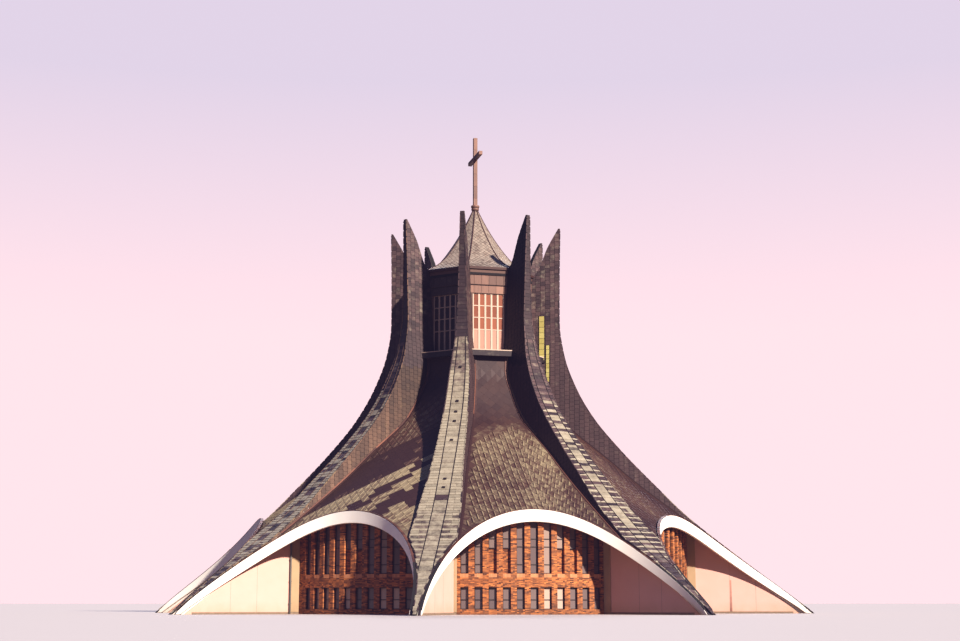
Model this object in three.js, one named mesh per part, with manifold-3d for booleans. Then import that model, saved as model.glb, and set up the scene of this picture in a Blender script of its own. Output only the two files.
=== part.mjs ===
// Modern church building, a scale model at 1:2.
// Every length below is the real building's, in millimetres. The last group shrinks them by MODEL_SCALE.
// Frame: +Z up, origin on the axis at ground level, the front bay faces -Y.
import * as THREE from "three";
import { mergeVertices } from "three/addons/utils/BufferGeometryUtils.js";
import Module from "manifold-3d";

const wasm = await Module();
wasm.setup();

// Whole building
const MODEL_SCALE = 0.5;
const BAYS = 8;
const BAY_ANGLE = (2 * Math.PI) / BAYS;
const HALF_BAY = BAY_ANGLE / 2;
const GAP = 0.6;
const BELOW_ALL = -3000;
const ABOVE_ALL = 40000;
const CUT_MARGIN = 300;

// Ribs: outer edge as height and distance from the axis, from the foot up to the fin's tip
const FOOT_RADIUS = 25190;
const RIB_OUTER = [
  [0, FOOT_RADIUS],
  [7050, 16100],
  [9300, 13850],
  [12000, 11300],
  [14600, 9200],
  [17100, 7800],
  [19600, 6930],
  [22100, 6600],
  [25800, 6640],
  [29600, 6740],
];
// Width of a rib across, by height
const RIB_WIDTH = [
  [0, 3700],
  [5000, 3200],
  [7000, 2900],
  [10000, 2280],
  [12900, 1930],
  [16700, 1640],
  [18600, 1360],
  [20600, 920],
  [25000, 600],
  [29600, 360],
];
// The fin's inner edge climbs from the lantern's eaves to the tip
const FIN_INNER = [
  [19600, 4300],
  [25600, 4300],
  [25900, 4780],
  [28100, 5750],
  [29600, 6600],
];
const RIB_KEEL = 120;

// Roof skin between the ribs: height and distance from the axis, beside a rib
const SKIN = [
  [3000, 20760],
  [5300, 17800],
  [7100, 15400],
  [9470, 12340],
  [11560, 9930],
  [12800, 8400],
  [14050, 7000],
  [16400, 5530],
  [17600, 4950],
  [18880, 4850],
];
const SKIN_BOTTOM = SKIN[0][0];
const SKIN_TOP = SKIN[SKIN.length - 1][0];
const SKIN_THICKNESS = 300;
const SLOPE_STEP = 50;
const SKIN_STATIONS = [
  3000, 4200, 5300, 6200, 7100, 8200, 9470, 11560, 12800, 14050, 15200, 16400, 17600, 18880,
];
const RIB_STATIONS = [0, 1500, ...SKIN_STATIONS, 19600, 21500, 25600, 25900, 28100, 29600];
const SKIN_STEPS = 6;
// A level cut through the skin is an arc about the axis at the first height and below,
// and a straight line at the second and above
const ROUND_UP_TO = 8000;
const FLAT_FROM = 17000;

// Arch at the foot of each bay: rise, half span and how far out its crown stands
const ARCH_RISE = 6890;
const ARCH_HALF_SPAN = 9180;
const ARCH_CROWN = 16390;
const ARCH_FULLNESS = 0.8155;
const ARCH_SPREAD = 3.78e-5;
const ARCH_FLARE = 5e-13;
const FASCIA_DEPTH = 860;
const FASCIA_FOOT_DEPTH = 380;
const FASCIA_FOOT_SHARPNESS = 6;
const FASCIA_THICKNESS = 200;
const ARCH_STEPS = 20;

// Brick drum under the arches
const DRUM_RADIUS = 16000;
const DRUM_THICKNESS = 500;
const DRUM_TOP = 6150;
const DRUM_HALF_ANGLE = THREE.MathUtils.degToRad(18.6);
const DRUM_FACETS = 11;
const MODULE_ANGLE = THREE.MathUtils.degToRad(3.34);
const WINDOW_WIDTH = 540;
const LOWER_SILL = 330;
const LOWER_HEAD = 1760;
const UPPER_SILL = 2650;
const RAISED_SILL = 4280;
const UPPER_HEAD = 6000;
const PANEL_RECESS = 250;
const GLASS_THICKNESS = 50;
const GLASS_LAP = 70;

// Buttress under each rib, white on both flanks
const BUTTRESS_OUTER_RADIUS = 24300;
const BUTTRESS_OUTER_HALF = 150;
const BUTTRESS_TOP_LIMIT = 8500;

// Floors
const GROUND_FLOOR_TOP = 150;
const NAVE_FLOOR_TOP = 2400;
const NAVE_FLOOR_THICKNESS = 300;

// Lantern: distances from the axis to the flat faces
const LANTERN_FACE = 4170;
const LANTERN_WALL = 220;
const LANTERN_SILL = 19350;
const LEDGE_FACE = 5250;
const LEDGE_BOTTOM = 18881;
const LEDGE_TOP = 19330;
const LANTERN_WINDOW_HEAD = 23800;
const LANTERN_WINDOW_HALF = 1230;
const LANTERN_LINTEL_TOP = 24450;
const FRIEZE_FACE = 4230;
const FRIEZE_TOP = 25250;
const CORNICE_FACE = 4300;
const LANTERN_TOP = 25650;
// Bell-cast lantern roof: height and distance from the axis to each flat face
const BELL = [
  [25850, 4400],
  [26400, 3420],
  [27050, 2680],
  [28250, 1800],
  [29440, 1090],
  [30500, 560],
  [31300, 200],
];
const BELL_SHELL = 180;
const BELL_INSET = 290;
const BELL_STEPS = 8;
const NARROWEST_HOLLOW = 60;

// Cross on its post
const COLLAR_TOP = 31720;
const COLLAR_RADIUS = 340;
const COLLAR_SIDES = 12;
const POST_SIDE = 240;
const CROSS_TOP = 37290;
const ARM_LENGTH = 3550;
const ARM_HEIGHT = 35460;
const ARM_SIDE = 240;

const finish = {
  patina: new THREE.MeshStandardMaterial({ color: 0x5d5a52, roughness: 0.7, metalness: 0.4 }),
  shingle: new THREE.MeshStandardMaterial({ color: 0x6c6152, roughness: 0.75, metalness: 0.3 }),
  render: new THREE.MeshStandardMaterial({ color: 0xe9e2d6, roughness: 0.9, metalness: 0 }),
  brick: new THREE.MeshStandardMaterial({ color: 0xa8512c, roughness: 0.9, metalness: 0 }),
  concrete: new THREE.MeshStandardMaterial({ color: 0x9b968c, roughness: 0.9, metalness: 0 }),
  glass: new THREE.MeshStandardMaterial({ color: 0x3d4a52, roughness: 0.15, metalness: 0 }),
  amberGlass: new THREE.MeshStandardMaterial({ color: 0xc0633c, roughness: 0.3, metalness: 0 }),
  copper: new THREE.MeshStandardMaterial({ color: 0x8a4f33, roughness: 0.5, metalness: 0.7 }),
};

// Smooth value between the rows of a [height, value] list
function valueAt(rows, height) {
  const last = rows.length - 1;
  let i = 0;
  while (i < last - 1 && height > rows[i + 1][0]) i += 1;
  const slope = (k) => {
    if (k === 0) return (rows[1][1] - rows[0][1]) / (rows[1][0] - rows[0][0]);
    if (k === last) return (rows[k][1] - rows[k - 1][1]) / (rows[k][0] - rows[k - 1][0]);
    const before = (rows[k][1] - rows[k - 1][1]) / (rows[k][0] - rows[k - 1][0]);
    const after = (rows[k + 1][1] - rows[k][1]) / (rows[k + 1][0] - rows[k][0]);
    return before * after <= 0 ? 0 : (2 * before * after) / (before + after);
  };
  const span = rows[i + 1][0] - rows[i][0];
  const u = (height - rows[i][0]) / span;
  const h00 = 2 * u ** 3 - 3 * u ** 2 + 1;
  const h10 = u ** 3 - 2 * u ** 2 + u;
  const h01 = 3 * u ** 2 - 2 * u ** 3;
  const h11 = u ** 3 - u ** 2;
  return h00 * rows[i][1] + h10 * span * slope(i) + h01 * rows[i + 1][1] + h11 * span * slope(i + 1);
}

function solidFrom(geometry) {
  const bare = geometry.clone();
  bare.deleteAttribute("normal");
  bare.deleteAttribute("uv");
  const merged = mergeVertices(bare, 1e-3);
  const mesh = new wasm.Mesh({
    numProp: 3,
    vertProperties: new Float32Array(merged.attributes.position.array),
    triVerts: new Uint32Array(merged.index.array),
  });
  return new wasm.Manifold(mesh);
}

function geometryFrom(solid) {
  const mesh = solid.getMesh();
  const geometry = new THREE.BufferGeometry();
  geometry.setAttribute("position", new THREE.BufferAttribute(new Float32Array(mesh.vertProperties), 3));
  geometry.setIndex(new THREE.BufferAttribute(new Uint32Array(mesh.triVerts), 1));
  geometry.computeVertexNormals();
  return geometry;
}

// Upright prism over a plan outline of [x, y] points
function prism(outline, bottom, top) {
  const shape = new THREE.Shape(outline.map(([x, y]) => new THREE.Vector2(x, y)));
  const geometry = new THREE.ExtrudeGeometry(shape, { depth: top - bottom, bevelEnabled: false });
  return geometry.translate(0, 0, bottom);
}

function regularOutline(faceDistance, sides, turn) {
  const radius = faceDistance / Math.cos(Math.PI / sides);
  return Array.from({ length: sides }, (_, i) => {
    const angle = turn + ((i + 0.5) * 2 * Math.PI) / sides;
    return [radius * Math.cos(angle), radius * Math.sin(angle)];
  });
}

// Box around a centre line that leaves the axis towards `angle`, measured from -Y towards +X
function radialBox(angle, near, far, width, bottom, top) {
  const box = new THREE.BoxGeometry(width, far - near, top - bottom);
  box.translate(0, -(near + far) / 2, (bottom + top) / 2);
  return box.rotateZ(angle);
}

// Closed body through rings of equal length, in order
// Level rings may have any outline, others have four corners
function loft(rings, level = true) {
  const count = rings[0].length;
  const positions = rings.flat(2);
  const index = [];
  for (let r = 0; r < rings.length - 1; r += 1) {
    for (let i = 0; i < count; i += 1) {
      const a = r * count + i;
      const b = r * count + ((i + 1) % count);
      index.push(a, b, b + count, a, b + count, a + count);
    }
  }
  const cap = (ring, base, flip) => {
    const flat = ring.map(([x, y]) => new THREE.Vector2(x, y));
    const corners = [
      [0, 1, 2],
      [0, 2, 3],
    ];
    const faces = level ? THREE.ShapeUtils.triangulateShape(flat, []) : corners;
    faces.forEach(([a, b, c]) => {
      index.push(base + a, base + (flip ? c : b), base + (flip ? b : c));
    });
  };
  cap(rings[0], 0, true);
  cap(rings[rings.length - 1], (rings.length - 1) * count, false);
  const geometry = new THREE.BufferGeometry();
  geometry.setAttribute("position", new THREE.Float32BufferAttribute(positions, 3));
  geometry.setIndex(index);
  return geometry;
}

// Point at a distance along a rib's line and an offset across it, for the rib at `angle` from -Y
function alongRib(angle, radius, across, height) {
  const x = radius * Math.sin(angle) + across * Math.cos(angle);
  const y = -radius * Math.cos(angle) + across * Math.sin(angle);
  return [x, y, height];
}

function skinSlope(height) {
  const at = THREE.MathUtils.clamp(height, SKIN_BOTTOM + SLOPE_STEP, SKIN_TOP - SLOPE_STEP);
  return (valueAt(SKIN, at + SLOPE_STEP) - valueAt(SKIN, at - SLOPE_STEP)) / (2 * SLOPE_STEP);
}

function skinInner(height) {
  return valueAt(SKIN, height) - SKIN_THICKNESS * Math.hypot(1, skinSlope(height));
}

function ribInner(height) {
  if (height >= FIN_INNER[0][0]) return valueAt(FIN_INNER, height);
  if (height >= SKIN_TOP) return FIN_INNER[0][1];
  if (height >= SKIN_BOTTOM) return skinInner(height) - RIB_KEEL;
  const depth = valueAt(RIB_OUTER, SKIN_BOTTOM) - skinInner(SKIN_BOTTOM) + RIB_KEEL;
  return valueAt(RIB_OUTER, height) - depth;
}

// One rib, grown on every side by `grow` when it is wanted as a cutter
function ribBody(angle, grow) {
  const rings = RIB_STATIONS.map((height, i) => {
    const outer = valueAt(RIB_OUTER, height) + grow;
    const inner = ribInner(height) - grow;
    const half = valueAt(RIB_WIDTH, height) / 2 + grow;
    const lift = grow * (i === 0 ? -1 : i === RIB_STATIONS.length - 1 ? 1 : 0);
    return [
      alongRib(angle, inner, -half, height + lift),
      alongRib(angle, outer, -half, height + lift),
      alongRib(angle, outer, half, height + lift),
      alongRib(angle, inner, half, height + lift),
    ];
  });
  return solidFrom(loft(rings));
}

// The arch in a bay's own axes: t across the bay, a outwards along its centre line
function archOut(t) {
  return ARCH_CROWN + ARCH_SPREAD * t ** 2 + ARCH_FLARE * t ** 4;
}

function archHeight(t) {
  return ARCH_RISE * Math.max(0, 1 - (t / ARCH_HALF_SPAN) ** 2) ** ARCH_FULLNESS;
}

// Places along the arch, closer together towards its feet
function archStations() {
  return Array.from({ length: ARCH_STEPS + 1 }, (_, i) => {
    return ARCH_HALF_SPAN * Math.sin((Math.PI / 2) * ((2 * i) / ARCH_STEPS - 1));
  });
}

// Plan point a distance behind the face of the arch
function behindArch(t, back) {
  const run = 2 * ARCH_SPREAD * t + 4 * ARCH_FLARE * t ** 3;
  const length = Math.hypot(1, run);
  return [t + (back * run) / length, -(archOut(t) - back / length)];
}

// Everything outside the back of an arch's fascia, standing in the bay at `angle`
function archClearance(angle, back) {
  const outline = archStations().map((t) => behindArch(t, back));
  const [endT, endY] = behindArch(ARCH_HALF_SPAN + 6 * CUT_MARGIN, back);
  outline.unshift([-endT, endY]);
  outline.push([endT, endY], [endT, -3 * ARCH_CROWN], [-endT, -3 * ARCH_CROWN]);
  const body = prism(outline.reverse(), BELOW_ALL, ABOVE_ALL);
  return solidFrom(body.rotateZ(angle));
}

// White band along the arch, deepest at the crown, with its feet cut level with the ground
function archFascia(angle) {
  const rings = archStations().map((t) => {
    const reach = Math.abs(t) / ARCH_HALF_SPAN;
    const depth = FASCIA_DEPTH + (FASCIA_FOOT_DEPTH - FASCIA_DEPTH) * reach ** FASCIA_FOOT_SHARPNESS;
    const top = archHeight(t);
    const [frontX, frontY] = behindArch(t, 0);
    const [backX, backY] = behindArch(t, FASCIA_THICKNESS);
    return [
      [frontX, frontY, top - depth],
      [backX, backY, top - depth],
      [backX, backY, top],
      [frontX, frontY, top],
    ];
  });
  const wide = 2 * FOOT_RADIUS;
  const ground = solidFrom(radialBox(0, -wide, wide, 2 * wide, BELOW_ALL, 0));
  const band = solidFrom(loft(rings, false)).subtract(ground);
  return band.rotate([0, 0, THREE.MathUtils.radToDeg(angle)]);
}

// Roof skin of one bay, from rib side to rib side
function roofBay(angle) {
  const cos = Math.cos(HALF_BAY);
  const sin = Math.sin(HALF_BAY);
  const line = (radius, height) => {
    const half = valueAt(RIB_WIDTH, height) / 2 + GAP;
    const endA = radius * cos + half * sin;
    const endT = radius * sin - half * cos;
    const blend = THREE.MathUtils.clamp((FLAT_FROM - height) / (FLAT_FROM - ROUND_UP_TO), 0, 1);
    const sagitta = Math.hypot(endA, endT) - endA;
    return Array.from({ length: SKIN_STEPS + 1 }, (_, i) => {
      const s = (2 * i) / SKIN_STEPS - 1;
      return [s * endT, -(endA + blend * sagitta * (1 - s * s)), height];
    });
  };
  const rings = SKIN_STATIONS.map((height) => {
    const outer = line(valueAt(SKIN, height), height);
    const inner = line(skinInner(height), height);
    return [...outer, ...inner.reverse()];
  });
  const body = solidFrom(loft(rings).rotateZ(angle));
  return body.subtract(archClearance(angle, FASCIA_THICKNESS + GAP));
}

function rib(angle) {
  return ribBody(angle, 0)
    .subtract(archClearance(angle - HALF_BAY, FASCIA_THICKNESS + GAP))
    .subtract(archClearance(angle + HALF_BAY, FASCIA_THICKNESS + GAP));
}

// Windows of a bay as steps from its centre line
// Bays alternate between a window and a pier on the centre
function windowAngles(onCentre) {
  const most = onCentre ? 5 : 4.5;
  const list = [];
  for (let k = -most; k <= most; k += 1) list.push(k);
  return list;
}

function hasRaisedSill(k, onCentre) {
  return onCentre ? Math.abs(k) === 2 || Math.abs(k) === 3 : Math.abs(k) === 0.5;
}

function drumOutline(inner, outer, half, steps) {
  const arc = (radius, from, to) =>
    Array.from({ length: steps + 1 }, (_, i) => {
      const angle = from + ((to - from) * i) / steps;
      return [radius * Math.sin(angle), -radius * Math.cos(angle)];
    });
  return [...arc(outer, -half, half), ...arc(inner, half, -half)];
}

function brickWall(angle, onCentre) {
  const outer = DRUM_RADIUS;
  const inner = DRUM_RADIUS - DRUM_THICKNESS;
  let wall = solidFrom(prism(drumOutline(inner, outer, DRUM_HALF_ANGLE, DRUM_FACETS), 0, DRUM_TOP));
  for (const k of windowAngles(onCentre)) {
    const turn = k * MODULE_ANGLE;
    const near = inner - CUT_MARGIN;
    const far = outer + CUT_MARGIN;
    const sill = hasRaisedSill(k, onCentre) ? RAISED_SILL : UPPER_SILL;
    wall = wall.subtract(solidFrom(radialBox(turn, near, far, WINDOW_WIDTH, LOWER_SILL, LOWER_HEAD)));
    wall = wall.subtract(solidFrom(radialBox(turn, near, far, WINDOW_WIDTH, sill, UPPER_HEAD)));
    if (sill === RAISED_SILL) {
      const front = outer - PANEL_RECESS;
      const panel = radialBox(turn, front, far, WINDOW_WIDTH, UPPER_SILL, RAISED_SILL + GAP);
      wall = wall.subtract(solidFrom(panel));
    }
  }
  return wall.rotate([0, 0, THREE.MathUtils.radToDeg(angle)]);
}

// A buttress tapers in plan towards its foot and stops under its rib
function buttress(angle) {
  const at = (radius, across) => alongRib(angle, radius, across, 0).slice(0, 2);
  const meet = HALF_BAY - DRUM_HALF_ANGLE;
  const half = (radius) => radius * Math.sin(meet) - GAP;
  const along = (radius) => radius * Math.cos(meet);
  const drumInner = DRUM_RADIUS - DRUM_THICKNESS;
  const outline = [
    at(along(drumInner), -half(drumInner)),
    at(along(DRUM_RADIUS), -half(DRUM_RADIUS)),
    at(BUTTRESS_OUTER_RADIUS, -BUTTRESS_OUTER_HALF),
    at(BUTTRESS_OUTER_RADIUS, BUTTRESS_OUTER_HALF),
    at(along(DRUM_RADIUS), half(DRUM_RADIUS)),
    at(along(drumInner), half(drumInner)),
  ];
  const wedge = solidFrom(prism(outline, 0, 2 * DRUM_TOP));
  const heights = RIB_STATIONS.filter((height) => height <= BUTTRESS_TOP_LIMIT);
  const side = 2 * DRUM_RADIUS;
  const [foot, knee] = RIB_OUTER;
  const lean = (foot[1] - knee[1]) / (knee[0] - foot[0]);
  const rings = heights.map((height, i) => {
    const level = i === 0 ? BELOW_ALL : height;
    const near = ribInner(height) - 2 * GAP + (height - level) * lean;
    return [
      alongRib(angle, near, -side, level),
      alongRib(angle, 3 * FOOT_RADIUS, -side, level),
      alongRib(angle, 3 * FOOT_RADIUS, side, level),
      alongRib(angle, near, side, level),
    ];
  });
  rings.push(rings[rings.length - 1].map(([x, y]) => [x, y, ABOVE_ALL]));
  return wedge.subtract(solidFrom(loft(rings)));
}

// Plan outline that follows the inside of the drum and of the buttresses, at a corner radius
function insideDrum(radius) {
  const outline = [];
  for (let bay = 0; bay < BAYS; bay += 1) {
    for (let i = 0; i <= DRUM_FACETS; i += 1) {
      const angle = bay * BAY_ANGLE + DRUM_HALF_ANGLE * ((2 * i) / DRUM_FACETS - 1);
      outline.push([radius * Math.sin(angle), -radius * Math.cos(angle)]);
    }
  }
  return outline;
}

function plate(outline, bottom, top) {
  return solidFrom(prism(outline, bottom, top));
}

function sheetRing(outline, hole, bottom, top) {
  return plate(outline, bottom, top).subtract(plate(hole, bottom - GLASS_LAP, top + GLASS_LAP));
}

const octagon = (face, bottom, top) => solidFrom(prism(regularOutline(face, BAYS, 0), bottom, top));

function lanternWall(ribs) {
  let body = octagon(LANTERN_FACE, LEDGE_BOTTOM, LANTERN_TOP);
  body = body.add(octagon(LEDGE_FACE, LEDGE_BOTTOM, LEDGE_TOP));
  body = body.add(octagon(FRIEZE_FACE, LANTERN_LINTEL_TOP, FRIEZE_TOP));
  body = body.add(octagon(CORNICE_FACE, FRIEZE_TOP, LANTERN_TOP));
  const within = LANTERN_FACE - LANTERN_WALL;
  body = body.subtract(octagon(within, LEDGE_BOTTOM - CUT_MARGIN, LANTERN_TOP + CUT_MARGIN));
  for (let i = 0; i < BAYS; i += 1) {
    const near = within - CUT_MARGIN;
    const far = LANTERN_FACE + CUT_MARGIN;
    const width = 2 * LANTERN_WINDOW_HALF;
    const window = radialBox(i * BAY_ANGLE, near, far, width, LANTERN_SILL, LANTERN_WINDOW_HEAD);
    body = body.subtract(solidFrom(window));
  }
  return ribs.reduce((rest, cutter) => rest.subtract(cutter), body);
}

function lanternRoof(ribs) {
  const corner = 1 / Math.cos(HALF_BAY);
  const [low, eaves] = BELL[0];
  const high = BELL[BELL.length - 1][0];
  const rise = (high - low) / BELL_STEPS;
  const heights = Array.from({ length: BELL_STEPS + 1 }, (_, i) => low + rise * i);
  const outer = heights.map((height) => [valueAt(BELL, height), height]);
  const hollow = heights.map((height) => [valueAt(BELL, height) - BELL_INSET, height]);
  const profile = [
    [0, high - 2 * BELL_SHELL],
    ...hollow.filter(([face]) => face > NARROWEST_HOLLOW).reverse(),
    [eaves - BELL_INSET, LANTERN_TOP + GAP],
    [eaves, LANTERN_TOP + GAP],
    ...outer,
    [0, high],
  ];
  const points = profile.map(([face, height]) => new THREE.Vector2(face * corner, height));
  const lathe = new THREE.LatheGeometry(points, BAYS);
  lathe.rotateX(Math.PI / 2).rotateZ(HALF_BAY);
  const body = solidFrom(lathe);
  return ribs.reduce((rest, cutter) => rest.subtract(cutter), body);
}

function crossOnPost() {
  const collarBottom = BELL[BELL.length - 1][0] + GAP;
  const collar = plate(regularOutline(COLLAR_RADIUS, COLLAR_SIDES, 0), collarBottom, COLLAR_TOP);
  const half = POST_SIDE / 2;
  const reach = ARM_LENGTH / 2;
  const post = radialBox(0, -half, half, POST_SIDE, collarBottom, CROSS_TOP);
  const arm = radialBox(0, -reach, reach, ARM_SIDE, ARM_HEIGHT, ARM_HEIGHT + ARM_SIDE);
  return collar.add(solidFrom(post)).add(solidFrom(arm));
}

const church = new THREE.Group();
church.scale.setScalar(MODEL_SCALE);

function place(name, solid, material) {
  const mesh = new THREE.Mesh(geometryFrom(solid), material.clone());
  mesh.name = name;
  church.add(mesh);
}

const ribCutters = [];
for (let i = 0; i < BAYS; i += 1) {
  const bayAngle = i * BAY_ANGLE;
  const ribAngle = bayAngle + HALF_BAY;
  const number = i + 1;
  ribCutters.push(ribBody(ribAngle, GAP));
  place(`rib_${number}`, rib(ribAngle), finish.patina);
  place(`buttress_${number}`, buttress(ribAngle), finish.render);
  place(`roof_bay_${number}`, roofBay(bayAngle), finish.shingle);
  place(`arch_fascia_${number}`, archFascia(bayAngle), finish.render);
  place(`brick_wall_${number}`, brickWall(bayAngle, i % 2 === 0), finish.brick);
}

const inside = insideDrum(DRUM_RADIUS - DRUM_THICKNESS - GAP);
const insideGlass = insideDrum(DRUM_RADIUS - DRUM_THICKNESS - GAP - GLASS_THICKNESS);
const naveFloorBottom = NAVE_FLOOR_TOP - NAVE_FLOOR_THICKNESS;
place("ground_floor", plate(inside, 0, GROUND_FLOOR_TOP), finish.concrete);
place("nave_floor", plate(inside, naveFloorBottom, NAVE_FLOOR_TOP), finish.concrete);
const lowerGlass = sheetRing(inside, insideGlass, GROUND_FLOOR_TOP + GAP, LOWER_HEAD + GLASS_LAP);
const upperGlass = sheetRing(inside, insideGlass, NAVE_FLOOR_TOP + GAP, UPPER_HEAD + GLASS_LAP);
place("lower_window_glass", lowerGlass, finish.glass);
place("upper_window_glass", upperGlass, finish.glass);
place("lantern_wall", lanternWall(ribCutters), finish.patina);
const lanternInside = LANTERN_FACE - LANTERN_WALL - GAP;
const lanternGlass = sheetRing(
  regularOutline(lanternInside, BAYS, 0),
  regularOutline(lanternInside - GLASS_THICKNESS, BAYS, 0),
  LEDGE_BOTTOM,
  LANTERN_WINDOW_HEAD + GLASS_LAP,
);
place("lantern_glass", lanternGlass, finish.amberGlass);
place("lantern_roof", lanternRoof(ribCutters), finish.shingle);
place("cross", crossOnPost(), finish.copper);

export default church;
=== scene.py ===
# %% [markdown]
# # A round modern church, dressed in Blender
# The church has eight curved ribs that rise from the ground into tall fins around a glazed lantern.
# Between the ribs hangs a roof of copper shingles, with a white arch and a brick wall of slit windows
# under each bay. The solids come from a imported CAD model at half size. Here each one gets its real
# cladding, bricks, window bars and weathered finish.

# %% Load the frame
import math

import bpy
import numpy as np
from mathutils import Matrix, Vector


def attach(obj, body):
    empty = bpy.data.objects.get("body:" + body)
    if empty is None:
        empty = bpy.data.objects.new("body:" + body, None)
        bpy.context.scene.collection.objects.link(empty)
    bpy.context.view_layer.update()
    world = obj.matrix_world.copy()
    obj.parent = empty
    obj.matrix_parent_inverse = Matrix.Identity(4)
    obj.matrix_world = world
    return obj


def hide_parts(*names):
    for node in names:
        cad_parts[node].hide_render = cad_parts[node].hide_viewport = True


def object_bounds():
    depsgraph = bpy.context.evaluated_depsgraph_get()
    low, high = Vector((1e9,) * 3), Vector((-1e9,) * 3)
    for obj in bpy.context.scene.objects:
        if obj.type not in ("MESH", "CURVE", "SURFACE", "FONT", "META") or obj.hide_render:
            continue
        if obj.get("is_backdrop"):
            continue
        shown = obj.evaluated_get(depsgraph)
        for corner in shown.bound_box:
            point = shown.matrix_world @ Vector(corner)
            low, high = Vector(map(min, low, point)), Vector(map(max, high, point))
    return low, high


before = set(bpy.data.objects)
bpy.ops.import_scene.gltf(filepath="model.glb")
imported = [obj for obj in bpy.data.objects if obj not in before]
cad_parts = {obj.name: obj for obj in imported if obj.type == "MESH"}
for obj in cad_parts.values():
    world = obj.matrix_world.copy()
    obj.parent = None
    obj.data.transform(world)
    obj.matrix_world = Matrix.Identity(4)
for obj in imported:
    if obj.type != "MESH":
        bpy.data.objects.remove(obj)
cad_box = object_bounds()
print("CAD box", [round(v, 3) for v in (*cad_box[0], *cad_box[1])])

# %% [markdown]
# ## Measures of the real building
# Every length in this lesson is the real building's, in metres. `make_mesh` halves it at the end, because
# the model is at 1:2. The outlines are lists of height and distance from the upright axis.

# %% Measures
SCALE = 0.5
BAYS = 8
BAY_ANGLE = 2 * math.pi / BAYS
HALF_BAY = BAY_ANGLE / 2
GAP = 0.0006

RIB_OUTER = [
    (0, 25.19), (7.05, 16.1), (9.3, 13.85), (12, 11.3), (14.6, 9.2),
    (17.1, 7.8), (19.6, 6.93), (22.1, 6.6), (25.8, 6.64), (29.6, 6.74),
]
RIB_WIDTH = [
    (0, 3.7), (5, 3.2), (7, 2.9), (10, 2.28), (12.9, 1.93),
    (16.7, 1.64), (18.6, 1.36), (20.6, 0.92), (25, 0.6), (29.6, 0.36),
]
FIN_INNER = [(19.6, 4.3), (25.6, 4.3), (25.9, 4.78), (28.1, 5.75), (29.6, 6.6)]
RIB_TOP = 29.6
SKIN = [
    (3, 20.76), (5.3, 17.8), (7.1, 15.4), (9.47, 12.34), (11.56, 9.93),
    (12.8, 8.4), (14.05, 7.0), (16.4, 5.53), (17.6, 4.95), (18.88, 4.85),
]
SKIN_LOW, SKIN_HIGH = SKIN[0][0], SKIN[-1][0]
SKIN_THICKNESS = 0.3
ROUND_UP_TO, FLAT_FROM = 8.0, 17.0
ARCH_RISE, ARCH_HALF_SPAN, ARCH_CROWN = 6.89, 9.18, 16.39
ARCH_FULLNESS = 0.8155
ARCH_BOW, ARCH_FLARE = 0.0378, 0.0005
FASCIA_DEPTH, FASCIA_FOOT_DEPTH, FASCIA_THICKNESS = 0.86, 0.38, 0.2


def curve_through(rows):
    """Smooth function through rows of height and value that never overshoots them."""
    heights, values = np.array(rows, float).T
    spans = np.diff(heights)
    rises = np.diff(values) / spans
    slopes = np.zeros(len(rows))
    slopes[0], slopes[-1] = rises[0], rises[-1]
    before, after = rises[:-1], rises[1:]
    product, total = before * after, before + after
    slopes[1:-1] = np.divide(2 * product, total, out=np.zeros_like(total), where=product > 0)

    def at(height):
        i = np.clip(np.searchsorted(heights, height, side="right") - 1, 0, len(spans) - 1)
        u = (height - heights[i]) / spans[i]
        rise = spans[i] * (slopes[i] * (u**3 - 2 * u**2 + u) + slopes[i + 1] * (u**3 - u**2))
        return values[i] * (2 * u**3 - 3 * u**2 + 1) + values[i + 1] * (3 * u**2 - 2 * u**3) + rise

    return at


def length_up(heights, radius):
    """Distances along a profile from its foot, one for each height."""
    steps = np.hypot(np.diff(heights), np.diff(radius(heights)))
    return np.concatenate([[0.0], np.cumsum(steps)])


rib_radius, rib_width = curve_through(RIB_OUTER), curve_through(RIB_WIDTH)
skin_radius, fin_inner = curve_through(SKIN), curve_through(FIN_INNER)
print("rib at eaves height", round(float(rib_radius(6.9)), 2), "wide", round(float(rib_width(6.9)), 2))

# %% [markdown]
# ## Sheets, shingles and bricks as small solid plates
# Everything that covers this building is a thin plate laid on a surface: copper sheets, shingles, bricks.
# A `Shell` collects such plates for one bay, facing the front. Each plate keeps a number, so that it can
# get its own tone and its own share of green weathering when the bay is turned to its place. Plates cut by
# an edge of the roof are trimmed as flat outlines first and laid on the curved surface afterwards, which
# keeps the cut exact and cheap.


# %% Shells and pieces
class Shell:
    """Plates and plain faces of one piece, in the axes of the bay or rib that faces the front."""

    def __init__(self):
        self.points, self.faces, self.finish, self.plate = [], [], [], []
        self.plates = []

    def new_plate(self, u=0.0, v=0.0, kind=0, extra=0):
        self.plates.append((u, v, kind, extra))
        return len(self.plates) - 1

    def columns(self):
        """What the plates say, as four rows of numbers: u, v, kind and extra."""
        return np.array(self.plates, float).T

    def add(self, points, faces, finish, plate, start=None):
        """Adds points and the faces on them. With a start, the faces use points that are already there."""
        start = len(self.points) if start is None else start
        self.points.extend(points)
        for face in faces:
            self.faces.append([start + i for i in face])
            self.finish.append(finish)
            self.plate.append(plate)


def lay_plates(shell, outlines, surface, finish, low=-0.035):
    """Lays flat outlines of (u, v, lift) corners on a surface as plates with a face and edges."""
    flat = np.array([corner for outline, _ in outlines for corner in outline], float)
    if not len(flat):
        return
    tops = surface(flat[:, 0], flat[:, 1], flat[:, 2])
    bases = surface(flat[:, 0], flat[:, 1], np.full(len(flat), low))
    start = 0
    for outline, plate in outlines:
        n = len(outline)
        points = [*tops[start : start + n].tolist(), *bases[start : start + n].tolist()]
        sides = [[i, n + i, n + (i + 1) % n, (i + 1) % n] for i in range(n)]
        shell.add(points, [list(range(n)), *sides], finish, plate)
        start += n


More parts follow.
